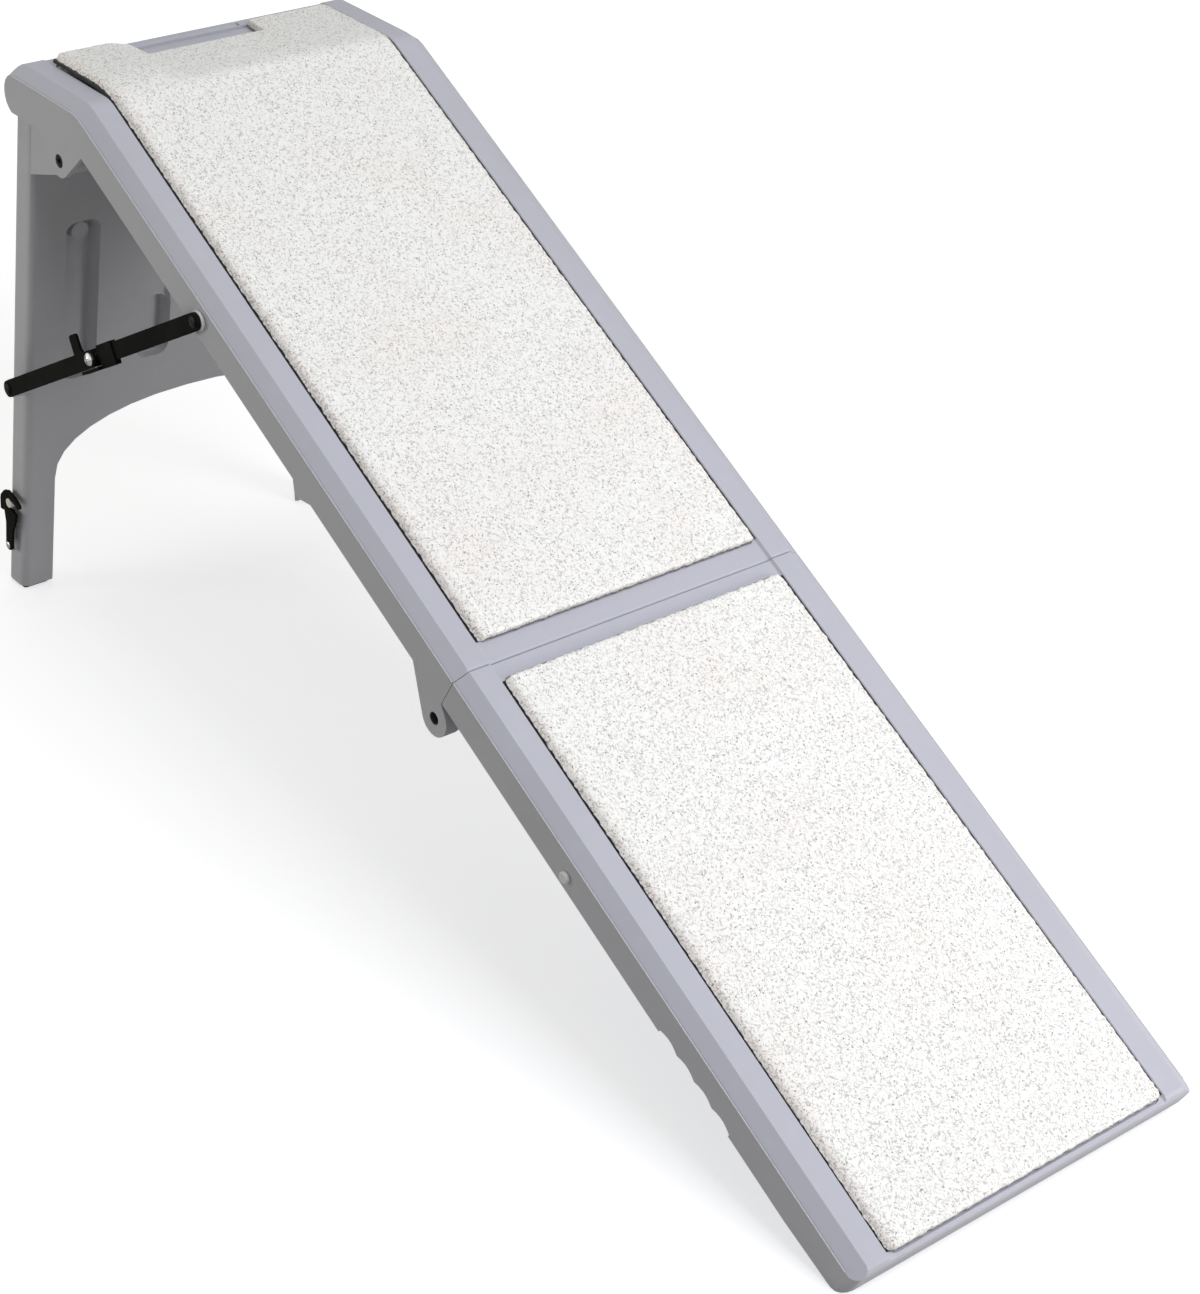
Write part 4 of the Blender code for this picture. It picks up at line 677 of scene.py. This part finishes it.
@dataclass
class MouldedPanels:
    """The three blow-moulded panels and their raised parting line."""

    finishes: Finishes
    shape: RampShape = field(default_factory=RampShape)
    edge_round: float = 0.0011
    rail_round: float = 0.0035
    rail_edge_shortest: float = 0.003
    rail_edge_angle: float = 20.0
    rail_edge_aside: float = 0.0004
    rail_edge_up: float = 0.0006
    seam_edge_angle: float = 50.0
    seam_edge_reach: float = 0.0012
    seam_edge_heights: Span = (0.004, 0.011)
    leg_edge_round: float = 0.0022
    leg_edge_segments: int = 3
    line_radius: float = 0.00055
    line_sunk: float = 0.0001
    line_step: float = 0.008
    line_sides: int = 6
    # the thin dark line above the parting ridge is painted shade
    shade_line_radius: float = 0.0003
    shade_line_height: float = 0.0009
    toe_gap: float = 0.0135
    seam_gap: float = 0.0008
    rear_gap: float = 0.004

    def on_rail_edge(self, edge: bmesh.types.BMEdge) -> bool:
        """Whether an edge is the long one between the outer bevel and the rail.

        Args:
            edge: Edge of a panel.

        Returns:
            Whether it is.
        """
        if edge.calc_length() < self.rail_edge_shortest:
            return False
        if edge.calc_face_angle(0.0) < math.radians(self.rail_edge_angle):
            return False
        outer = self.shape.half_width - self.shape.bevel_width
        for vert in edge.verts:
            if abs(abs(vert.co.y) - outer) > self.rail_edge_aside:
                return False
            if abs(self.shape.height_over_top(vert.co) - self.shape.rail_height) > self.rail_edge_up:
                return False
        return True

    def on_seam_edge(self, edge: bmesh.types.BMEdge) -> bool:
        """Whether an edge is the one across the top where the upper panel ends at the seam.

        Args:
            edge: Edge of the upper panel.

        Returns:
            Whether it is.
        """
        if edge.calc_face_angle(0.0) < math.radians(self.seam_edge_angle):
            return False
        lowest, highest = self.seam_edge_heights
        for vert in edge.verts:
            along, height = self.shape.height_over_deck(vert.co)
            if abs(along - self.shape.lower_length) > self.seam_edge_reach:
                return False
            if height < lowest or height > highest:
                return False
        return True

    def parting_line(self, name: str, body: str, reach: Span, height: float, radius: float,
                     material: Material) -> None:
        """Fine line along both sides where the two halves of the mould meet.

        Args:
            name: Name of the piece.
            body: Body that it rides on.
            reach: Travel where it starts and where it ends.
            height: Height of its middle over the parting plane.
            radius: Its radius.
            material: Its finish.
        """
        start, end = reach
        bevel_in = self.shape.bevel_width / self.shape.rail_height * height
        corners = [2 * math.pi * corner / self.line_sides for corner in range(self.line_sides)]
        steps = max(2, int((end - start) / self.line_step))
        bm = bmesh.new()
        for side in Side:
            middle = side.value * (self.shape.half_width - bevel_in - self.line_sunk)
            loop = [(middle + radius * math.cos(angle), height + radius * math.sin(angle))
                    for angle in corners]
            ring = bm.faces.new([bm.verts.new(self.shape.surface(start, up) + Vector((0.0, y, 0.0)))
                                 for y, up in loop])
            for step in range(1, steps + 1):
                travel = start + (end - start) * step / steps
                ring = bmesh.ops.extrude_discrete_faces(bm, faces=[ring])["faces"][0]
                for vert, (y, up) in zip(ring.verts, loop):
                    vert.co = self.shape.surface(travel, up) + Vector((0.0, y, 0.0))
        bmesh.ops.recalc_face_normals(bm, faces=bm.faces)
        finished_object(name, bm, material, body)

    def build(self) -> None:
        """Make the panels."""
        plastic = self.finishes.plastic
        common = {"slot": "moulding", "edge_radius": self.edge_round, "wide_radius": self.rail_round}
        SoftCopy("upper_panel", "ramp", **common,
                 wide_test=lambda edge: self.on_rail_edge(edge) or self.on_seam_edge(edge)).make(plastic)
        SoftCopy("lower_panel", "lower_deck", **common, wide_test=self.on_rail_edge).make(plastic)
        SoftCopy("leg_panel", "leg", "moulding", self.leg_edge_round, self.leg_edge_segments).make(plastic)
        seam = self.shape.lower_length
        rear = self.shape.travel_to_platform(self.rear_gap)
        for part, body, reach in (("lower", "lower_deck", (self.toe_gap, seam - self.seam_gap)),
                                  ("upper", "ramp", (seam + self.seam_gap, rear))):
            # the ridge where the mould halves meet, coloured lighter than the panel as painted highlight
            self.parting_line(part + "_parting_line", body, reach, 0.0, self.line_radius,
                              self.finishes.parting)
            # a thin darker line just above the ridge, put there as painted shade
            self.parting_line(part + "_parting_painted_shade", body, reach, self.shade_line_height, self.shade_line_radius,
                              self.finishes.parting_shade)


@dataclass(frozen=True)
class Wander:
    """Uneven wave: its size and its repeats in a metre."""

    size: float
    repeats: float

    def at(self, place: Vector, shift: Place) -> float:
        """Height of the wave at a place; each shift gives another wave."""
        return self.size * noise.noise(place * self.repeats + Vector(shift))


@dataclass
class WalkingMat:
    """Looped fibre mat that follows the panel under it.

    A vertex has level 0 on the top, 1 where the black backing starts and 2 on the floor of the pocket; the
    backing paints the shadow in the slot under the mat's edge.
    """

    name: str
    node: str
    body: str
    start: float
    end: float
    finishes: Finishes
    shape: RampShape = field(default_factory=RampShape)
    half_width: float = 0.1610
    thickness: float = 0.009
    spacing: float = 0.0018
    low_corner: float = 0.005
    high_corner: float = 0.006
    shoulder_width: float = 0.009
    shoulder_drop: float = 0.0028
    end_shoulder_width: float = 0.004
    end_shoulder_drop: float = 0.0012
    bead_inset: float = 0.0112
    bead_width: float = 0.0020
    bead_height: float = 0.0006
    rim_width: float = 0.006
    ragged: float = 0.0011
    ragged_repeats: Span = (130.0, 290.0)
    ragged_inward: Span = (0.2, 0.4)
    toe_spread: float = 0.0
    notch: tuple[float, float, float] | None = None
    notch_flank: float = 0.004
    notch_zone: float = 0.10
    lifted_to: float = -0.105
    flat_from: float = -0.075
    side_levels: tuple[float, ...] = (0.25, 0.65, 0.96, 1.0, 1.02, 2.0)
    # the black backing and its flange over the ledge paint the shadow under the mat's edge
    shadow_backing_lift: float = 0.02
    side_lean: float = 0.0022
    shadow_backing_height: float = 0.0036
    shadow_flange_edge: float = 0.1650
    loops: Wander = Wander(0.00030, 420.0)
    swell: Wander = Wander(0.00022, 60.0)
    stray: Wander = Wander(0.00035, 500.0)
    stray_step: float = 9.0
    cut_inset: float = 0.0078
    cut_strength: float = 1.5
    cut_wander: Wander = Wander(0.0022, 150.0)
    smooth_angle: float = 80.0
    seed: int = 3

    def wander(self, along: float, first: Span, second: Span) -> float:
        """How far a cut wanders, as a share, from a coarse and a fine wave with these shifts."""
        coarse, fine = self.ragged_repeats
        return noise.noise(Vector((along * coarse, *first))) + noise.noise(Vector((along * fine, *second)))

    def outline_shift(self, travel: float, y: float) -> Span:
        """Place of a grid point once the corners are rounded and the cut wanders.

        Args:
            travel: Travel of the point on the plain rectangle.
            y: Its distance from the middle.

        Returns:
            Travel and y of the point on the mat.
        """
        middle = (self.start + self.end) / 2
        half_length = (self.end - self.start) / 2
        u = travel - middle
        corner = self.low_corner if u < 0 else self.high_corner
        over_u = abs(u) - (half_length - corner)
        over_y = abs(y) - (self.half_width - corner)
        if over_u > 0 and over_y > 0:
            shrink = max(over_u, over_y) / math.hypot(over_u, over_y)
            u = math.copysign(half_length - corner + over_u * shrink, u)
            y = math.copysign(self.half_width - corner + over_y * shrink, y)
        near_side = max(0.0, 1 - (self.half_width - abs(y)) / self.rim_width)
        near_end = max(0.0, 1 - (half_length - abs(u)) / self.rim_width)
        side_inward, end_inward = self.ragged_inward
        cut = side_inward + self.wander(travel, (self.seed, 0.0), (7.0, 1.0))
        y -= math.copysign(1.0, y) * near_side * self.ragged * cut
        cut = end_inward + self.wander(y, (self.seed, 5.0), (9.0, 2.0))
        u -= math.copysign(1.0, u) * near_end * self.ragged * cut
        share_to_toe = (self.end - travel) / (self.end - self.start)
        y += math.copysign(1.0, y) * near_side * self.toe_spread * share_to_toe
        return u + middle, y

    def notch_shift(self, travel: float, y: float) -> float:
        """Travel of a point once the rear notch is pressed in.

        Args:
            travel: Travel of the point.
            y: Its distance from the middle.

        Returns:
            The new travel.
        """
        if self.notch is None:
            return travel
        low, high, depth = self.notch
        inside = min(1.0, max(0.0, (y - low) / self.notch_flank), max(0.0, (high - y) / self.notch_flank))
        pressed = max(0.0, (travel - (self.end - self.notch_zone)) / self.notch_zone)
        return travel - depth * eased(inside) * pressed

    def crown(self, travel: float, y: float) -> float:
        """Height of the top over a flat mat: a rounded shoulder along the edges and a bead inside it.

        Args:
            travel: Travel of the point on the plain rectangle.
            y: Its distance from the middle.

        Returns:
            The height, negative on the shoulder.
        """
        side_inset = self.half_width - abs(y)
        end_inset = min(travel - self.start, self.end - travel)
        drop = 0.0
        for inset, width, deepest in ((side_inset, self.shoulder_width, self.shoulder_drop),
                                      (end_inset, self.end_shoulder_width, self.end_shoulder_drop)):
            over = min(1.0, max(0.0, 1 - inset / width))
            drop = max(drop, deepest * (1 - math.sqrt(1 - over * over)))
        bead = self.bead_height * math.exp(-((side_inset - self.bead_inset) / self.bead_width) ** 2)
        return bead - drop

    def side_height(self, top: float, level: float) -> float:
        """Height over the mat's floor at a level of a side whose upper edge is at top."""
        shadow_backing = self.shadow_backing_height * min(1.0, 2.0 - level + self.shadow_backing_lift)
        return shadow_backing if level > 1.0 else top + (self.shadow_backing_height - top) * level

    def side_place(self, y: float, level: float) -> float:
        """Distance from the middle on the leaning side, or on the black backing below it, whose flange is
        painted shadow on the ledge.
        """
        leaning = y + math.copysign(self.side_lean * level, y)
        return math.copysign(self.shadow_flange_edge, y) if level > 1.0 else leaning

    def cut_share(self, inset: float, level: float) -> float:
        """How far a point belongs to the cut side, by its distance inside the side and its level."""
        near_rim = self.cut_strength * (1 - max(0.0, inset) / self.cut_inset)
        return max(0.0, min(1.0, max(level / self.side_levels[0], near_rim)))

    def laid(self, travel: float, y: float, height: float) -> Vector:
        """Point of the mat on the path that it follows.

        Args:
            travel: Travel of the point.
            y: Its distance from the middle.
            height: Its height over the mat's floor.

        Returns:
            The point.
        """
        aside = Vector((0.0, y, 0.0))
        height += self.shape.mat_floor
        if self.notch is None:
            return self.shape.deck(travel, height) + aside
        low = self.shape.mat_path(travel, height, 0.0, self.shape.bend_radius)
        high = self.shape.mat_path(travel, height, self.shape.mat_lift, self.shape.mat_lift_radius)
        lifted = min(1.0, max(0.0, (self.flat_from - y) / (self.flat_from - self.lifted_to)))
        return low.lerp(high, eased(lifted)) + aside

    def blank(self) -> tuple[bmesh.types.BMesh, dict[bmesh.types.BMVert, float]]:
        """Flat grid of unit size whose sides hang from its rim and are closed below.

        Returns:
            The bmesh, with the attributes "cut" and "backing", and the level of each vertex.
        """
        bm = bmesh.new()
        for attribute in ("cut", "shadow_backing"):
            bm.verts.layers.float.new(attribute)
        bmesh.ops.create_grid(bm, x_segments=round((self.end - self.start) / self.spacing),
                              y_segments=round(2 * self.half_width / self.spacing), size=0.5)
        rim = [edge for edge in bm.edges if edge.is_boundary]
        levels = {vert: 0.0 for vert in bm.verts}
        for level in self.side_levels:
            made = bmesh.ops.extrude_edge_only(bm, edges=rim)["geom"]
            rim = [item for item in made if isinstance(item, bmesh.types.BMEdge) and item.is_boundary]
            for vert in {vert for edge in rim for vert in edge.verts}:
                levels[vert] = level
        bmesh.ops.holes_fill(bm, edges=rim, sides=0)
        return bm, levels

    def shape_vertex(self, vert: bmesh.types.BMVert, level: float) -> Span:
        """Move a vertex of the blank to its place.

        Args:
            vert: Vertex.
            level: Its level.

        Returns:
            How far it belongs to the cut side and to the black backing of painted shadow.
        """
        flat_travel = self.start + (vert.co.x + 0.5) * (self.end - self.start)
        flat_y = vert.co.y * 2 * self.half_width
        side_inset = self.half_width - abs(flat_y)
        on_side = side_inset < 0.5 * self.spacing
        travel, y = self.outline_shift(flat_travel, flat_y)
        travel = self.notch_shift(travel, y)
        place = Vector((travel, y, 0.0))
        height = self.side_height(self.thickness + self.crown(flat_travel, flat_y), level)
        if level < 1.0:
            height += self.loops.at(place, (self.seed, 0.0, 0.0))
            height += self.swell.at(place, (0.0, self.seed, 0.0))
            y += self.stray.at(place, (2.0, 3.0, level * self.stray_step))
            travel += self.stray.at(place, (8.0, 1.0, level * self.stray_step))
        if on_side:
            y = self.side_place(y, level)
        vert.co = self.laid(travel, y, height)
        inset = side_inset + self.cut_wander.at(place, (0.0, 0.0, 0.0))
        return self.cut_share(inset, level), float(level >= (1.0 if on_side else 2.0))

    def build(self) -> bpy.types.Object:
        """Make the mat.

        Returns:
            The object.
        """
        bm, levels = self.blank()
        cut = bm.verts.layers.float["cut"]
        shadow_backing = bm.verts.layers.float["shadow_backing"]
        for vert, level in levels.items():
            vert[cut], vert[shadow_backing] = self.shape_vertex(vert, level)
        bmesh.ops.recalc_face_normals(bm, faces=bm.faces)
        mat = finished_object(self.name, bm, self.finishes.fibre, self.body, self.smooth_angle)
        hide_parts(self.node)
        LOG.info("made %s", mat.name)
        return mat


@dataclass
class WalkingSurface:
    """The two mats and where they start and end."""

    finishes: Finishes
    shape: RampShape = field(default_factory=RampShape)
    toe_inset: float = 0.008
    below_seam: float = 0.0177
    above_seam: float = 0.0243
    rear_inset: float = 0.018
    rear_notch: tuple[float, float, float] = (-0.080, 0.064, 0.034)

    def build(self) -> None:
        """Make the mats."""
        seam = self.shape.lower_length
        WalkingMat("lower_mat_fibre", "lower_mat", "lower_deck", self.toe_inset, seam - self.below_seam,
                   self.finishes, low_corner=0.007, toe_spread=0.0012, thickness=0.0084,
                   bead_height=0.0004, seed=3).build()
        WalkingMat("upper_mat_fibre", "upper_mat", "ramp", seam + self.above_seam,
                   self.shape.travel_to_platform(self.rear_inset), self.finishes, low_corner=0.003,
                   notch=self.rear_notch, seed=8).build()


@dataclass
class FoldingBrace:
    """Folding brace on one side."""

    side: Side
    finishes: Finishes
    bar_round: float = 0.0006
    sleeve_round: float = 0.0005
    rivet_round: float = 0.0003
    screw_round: float = 0.0002
    spacer_round: float = 0.0004

    def build(self) -> None:
        """Make its bars, sleeve, screw, rivets and spacers."""
        word = self.side.word
        bars = "ramp_bar_" + word
        legs = "leg_bar_" + word
        paint, zinc = self.finishes.paint, self.finishes.zinc
        steel, nylon = self.finishes.steel, self.finishes.nylon
        SoftCopy("ramp_link_" + word, bars, "satin_black", self.bar_round).make(paint)
        SoftCopy("leg_link_" + word, legs, "satin_black", self.bar_round).make(paint)
        SoftCopy("lock_sleeve_" + word, bars, "satin_black", self.sleeve_round).make(paint)
        SoftCopy("middle_screw_" + word, legs, "zinc", self.screw_round).make(zinc)
        SoftCopy("middle_washer_" + word, legs, "zinc", self.screw_round).make(zinc)
        SoftCopy("ramp_rivet_" + word, "ramp", "dark_steel", self.rivet_round).make(steel)
        SoftCopy("leg_rivet_" + word, legs, "dark_steel", self.rivet_round).make(steel)
        SoftCopy("ramp_spacer_" + word, "ramp", "nylon", self.spacer_round).make(nylon)
        SoftCopy("leg_spacer_" + word, "leg", "nylon", self.spacer_round).make(nylon)


@dataclass
class Hinges:
    """Pins of the middle hinge with dark liners of painted shade in their recesses, bolts and nuts of the leg
    hinge.
    """

    finishes: Finishes
    edge_round: float = 0.0003
    bore_place: Span = (0.11014, 0.2467)
    bore_radius: float = 0.0062
    liner_from: float = 0.1945
    liner_to: float = 0.2022
    liner_wall: float = 0.0005
    liner_sides: int = 32

    def shade_liner(self, side: Side) -> None:
        """Dark liner in the recess over a middle pin; it paints the shade inside the hole.

        Args:
            side: Side of the ramp.
        """
        x, z = self.bore_place
        middle = Vector((x, side.value * (self.liner_from + self.liner_to) / 2, z))
        bm = bmesh.new()
        bmesh.ops.create_cone(bm, cap_ends=False, segments=self.liner_sides, radius1=self.bore_radius,
                              radius2=self.bore_radius, depth=self.liner_to - self.liner_from,
                              matrix=Matrix.Translation(middle) @ Matrix.Rotation(math.pi / 2, 4, "X"))
        bmesh.ops.solidify(bm, geom=bm.faces, thickness=self.liner_wall)
        bmesh.ops.recalc_face_normals(bm, faces=bm.faces)
        # painted shade: the dark liner blackens the inside of the hole
        finished_object("mid_bore_shade_liner_" + side.word, bm, self.finishes.rubber, "ramp")

    def build(self) -> None:
        """Make them."""
        for side in Side:
            SoftCopy("mid_pin_" + side.word, "ramp", "dark_steel", self.edge_round).make(self.finishes.paint)
            self.shade_liner(side)
            SoftCopy("leg_bolt_" + side.word, "ramp", "dark_steel", self.edge_round).make(self.finishes.steel)
            SoftCopy("leg_nut_" + side.word, "leg", "zinc", self.edge_round).make(self.finishes.zinc)


@dataclass
class TravelLatch:
    """Hook, its screw and the two studs."""

    finishes: Finishes
    hook_round: float = 0.0006
    screw_round: float = 0.0002
    stud_round: float = 0.0004

    def build(self) -> None:
        """Make them."""
        SoftCopy("latch_hook", "hook", "satin_black", self.hook_round).make(self.finishes.paint)
        SoftCopy("latch_screw", "leg", "zinc", self.screw_round).make(self.finishes.zinc)
        SoftCopy("leg_stud", "leg", "nylon", self.stud_round).make(self.finishes.nylon)
        SoftCopy("panel_stud", "lower_deck", "nylon", self.stud_round).make(self.finishes.nylon)


@dataclass
class RubberParts:
    """Strip under the low end and pads under the leg."""

    finishes: Finishes
    strip_round: float = 0.0004
    pad_round: float = 0.0006

    def build(self) -> None:
        """Make them."""
        SoftCopy("toe_strip", "lower_deck", "rubber", self.strip_round).make(self.finishes.rubber)
        for side in Side:
            SoftCopy("foot_pad_" + side.word, "leg", "rubber", self.pad_round).make(self.finishes.rubber)


# Stage


@dataclass(frozen=True)
class SoftLamp:
    """Square area lamp that points at the ramp."""

    name: str
    place: Place
    size: float
    power: float
    colour: Colour
    aim: Place = (0.0, 0.0, 0.3)

    def build(self) -> None:
        """Place the lamp."""
        data = bpy.data.lights.new(self.name, "AREA")
        data.size = self.size
        data.energy = self.power
        data.color = self.colour
        item = bpy.data.objects.new(self.name, data)
        ray = Vector(self.aim) - Vector(self.place)
        turn = ray.to_track_quat("-Z", "Y").to_matrix().to_4x4()
        item.matrix_world = Matrix.Translation(self.place) @ turn
        bpy.context.scene.collection.objects.link(item)


@dataclass(frozen=True)
class PaleFloor:
    """Pale matt floor that shows plain white to the camera, apart from the ramp's shadow."""

    name: str = "pale_floor"
    half_size: float = 30.0
    colour: Colour = (0.62, 0.605, 0.565)
    patch: Colour = (0.605, 0.59, 0.55)
    patches: Pattern = Pattern(2.0)
    roughness: Span = (0.9, 1.0)
    roughness_pattern: Pattern = Pattern(5.0)
    relief_pattern: Pattern = Pattern(30.0)
    relief_bump: Span = (0.02, 0.0002)
    glow_colour: Colour = (0.96, 0.97, 1.0)
    glow_near: float = 0.68
    glow_far: float = 1.0
    glow_range: Span = (1.3, 2.6)

    def glow(self, sheet: NodeSheet) -> Socket:
        """Glow that only the camera sees and that grows away from the ramp.

        Args:
            sheet: Sheet of the material.

        Returns:
            Strength of the glow.
        """
        away = sheet.node("VectorMath", operation="LENGTH")
        sheet.link(sheet.place, away.inputs[0])
        strength = sheet.spread(away.outputs["Value"], self.glow_near, self.glow_far, *self.glow_range)
        return sheet.maths("MULTIPLY", sheet.node("LightPath").outputs["Is Camera Ray"], strength)

    def make(self) -> Material:
        """Build the material.

        Returns:
            The material.
        """
        sheet = NodeSheet(self.name)
        patch = sheet.spread(sheet.noise(self.patches), 0.0, 1.0)
        tone = sheet.blend(patch, self.colour, self.patch)
        rough = sheet.spread(sheet.noise(self.roughness_pattern), *self.roughness)
        sheet.constant(Specular_IOR_Level=0.0, Emission_Color=(*self.glow_colour, 1.0))
        sheet.link(self.glow(sheet), sheet.shader.inputs["Emission Strength"])
        relief = sheet.noise(self.relief_pattern)
        return sheet.finish(tone, rough, sheet.bump(relief, *self.relief_bump))

    def build(self) -> None:
        """Lay the floor."""
        bm = bmesh.new()
        bmesh.ops.create_grid(bm, x_segments=1, y_segments=1, size=self.half_size)
        mesh = bpy.data.meshes.new("floor")
        bm.to_mesh(mesh)
        bm.free()
        floor = bpy.data.objects.new("floor", mesh)
        mesh.materials.append(self.make())
        bpy.context.scene.collection.objects.link(floor)


@dataclass(frozen=True)
class Studio:
    """Floor, soft lamps, surroundings and the camera."""

    azimuth: float = 50.259
    elevation: float = 31.405
    roll: float = 3.118
    place: Place = (1.763768, -1.4669, 1.6179)
    focal_pixels: float = 2820.8
    centre_pixels: Span = (535.4256, 625.7731)
    frame_pixels: tuple[int, int] = (1200, 1294)
    sensor: float = 36.0
    nearest: float = 0.05
    ambient: float = 0.24
    ambient_colour: Colour = (1.0, 1.0, 0.93)
    backdrop: Colour = (1.0, 1.0, 1.0)
    lamps: tuple[SoftLamp, ...] = (
        SoftLamp("key_lamp", (1.4, 0.15, 1.9), 1.4, 30.5, (0.85, 0.88, 1.0)),
        SoftLamp("top_lamp", (-0.9, 0.0, 2.6), 1.6, 12.0, (0.95, 0.97, 1.0)),
        SoftLamp("near_fill", (-1.6, -2.0, 0.5), 0.8, 12.5, (1.0, 1.0, 0.93)),
        SoftLamp("far_fill", (2.1, 1.5, 0.45), 0.8, 24.0, (1.0, 0.99, 0.99)),
    )

    def camera(self) -> None:
        """Place the camera at the photograph's angle."""
        az, el, roll = (math.radians(value) for value in (self.azimuth, self.elevation, self.roll))
        ahead = Vector((-math.sin(az) * math.cos(el), math.cos(az) * math.cos(el), -math.sin(el)))
        level = Vector((math.cos(az), math.sin(az), 0.0))
        upright = level.cross(ahead)
        right = math.cos(roll) * level + math.sin(roll) * upright
        up = -math.sin(roll) * level + math.cos(roll) * upright
        turn = Matrix((right, up, -ahead)).transposed().to_4x4()
        long_side = max(self.frame_pixels)
        data = bpy.data.cameras.new("camera")
        data.sensor_width = self.sensor
        data.lens = self.focal_pixels * self.sensor / long_side
        data.shift_x = (self.frame_pixels[0] / 2 - self.centre_pixels[0]) / long_side
        data.shift_y = (self.centre_pixels[1] - self.frame_pixels[1] / 2) / long_side
        data.clip_start = self.nearest
        camera = bpy.data.objects.new("camera", data)
        camera.matrix_world = Matrix.Translation(self.place) @ turn
        bpy.context.scene.collection.objects.link(camera)
        bpy.context.scene.camera = camera

    def world(self) -> None:
        """White surroundings for the camera and gloss, softer light for the rest."""
        world = bpy.data.worlds.new("studio")
        world.use_nodes = True
        tree = world.node_tree
        path = tree.nodes.new("ShaderNodeLightPath")
        seen = path.outputs["Is Camera Ray"]
        for ray in ("Is Glossy Ray", "Is Transmission Ray"):
            either = tree.nodes.new("ShaderNodeMath")
            either.operation = "MAXIMUM"
            tree.links.new(seen, either.inputs[0])
            tree.links.new(path.outputs[ray], either.inputs[1])
            seen = either.outputs["Value"]
        mix = tree.nodes.new("ShaderNodeMix")
        mix.data_type = "RGBA"
        ambient = tuple(self.ambient * value for value in self.ambient_colour)
        targets = [socket for socket in mix.inputs if socket.type == "RGBA"]
        for target, colour in zip(targets, (ambient, self.backdrop)):
            target.default_value = (*colour, 1.0)
        tree.links.new(seen, mix.inputs["Factor"])
        mixed = [socket for socket in mix.outputs if socket.type == "RGBA"][0]
        tree.links.new(mixed, tree.nodes["Background"].inputs["Color"])
        bpy.context.scene.world = world

    def build(self) -> None:
        """Set up the stage."""
        self.camera()
        self.world()
        PaleFloor().build()
        for lamp in self.lamps:
            lamp.build()
        bpy.context.scene.view_settings.view_transform = "Standard"


def main() -> None:
    """Build the ramp's pieces in order."""
    logging.basicConfig(level=logging.INFO, format="%(message)s")
    finishes = Finishes()
    Studio().build()
    MouldedPanels(finishes).build()
    WalkingSurface(finishes).build()
    for side in Side:
        FoldingBrace(side, finishes).build()
    Hinges(finishes).build()
    TravelLatch(finishes).build()
    RubberParts(finishes).build()


if __name__ == "__main__":
    main()
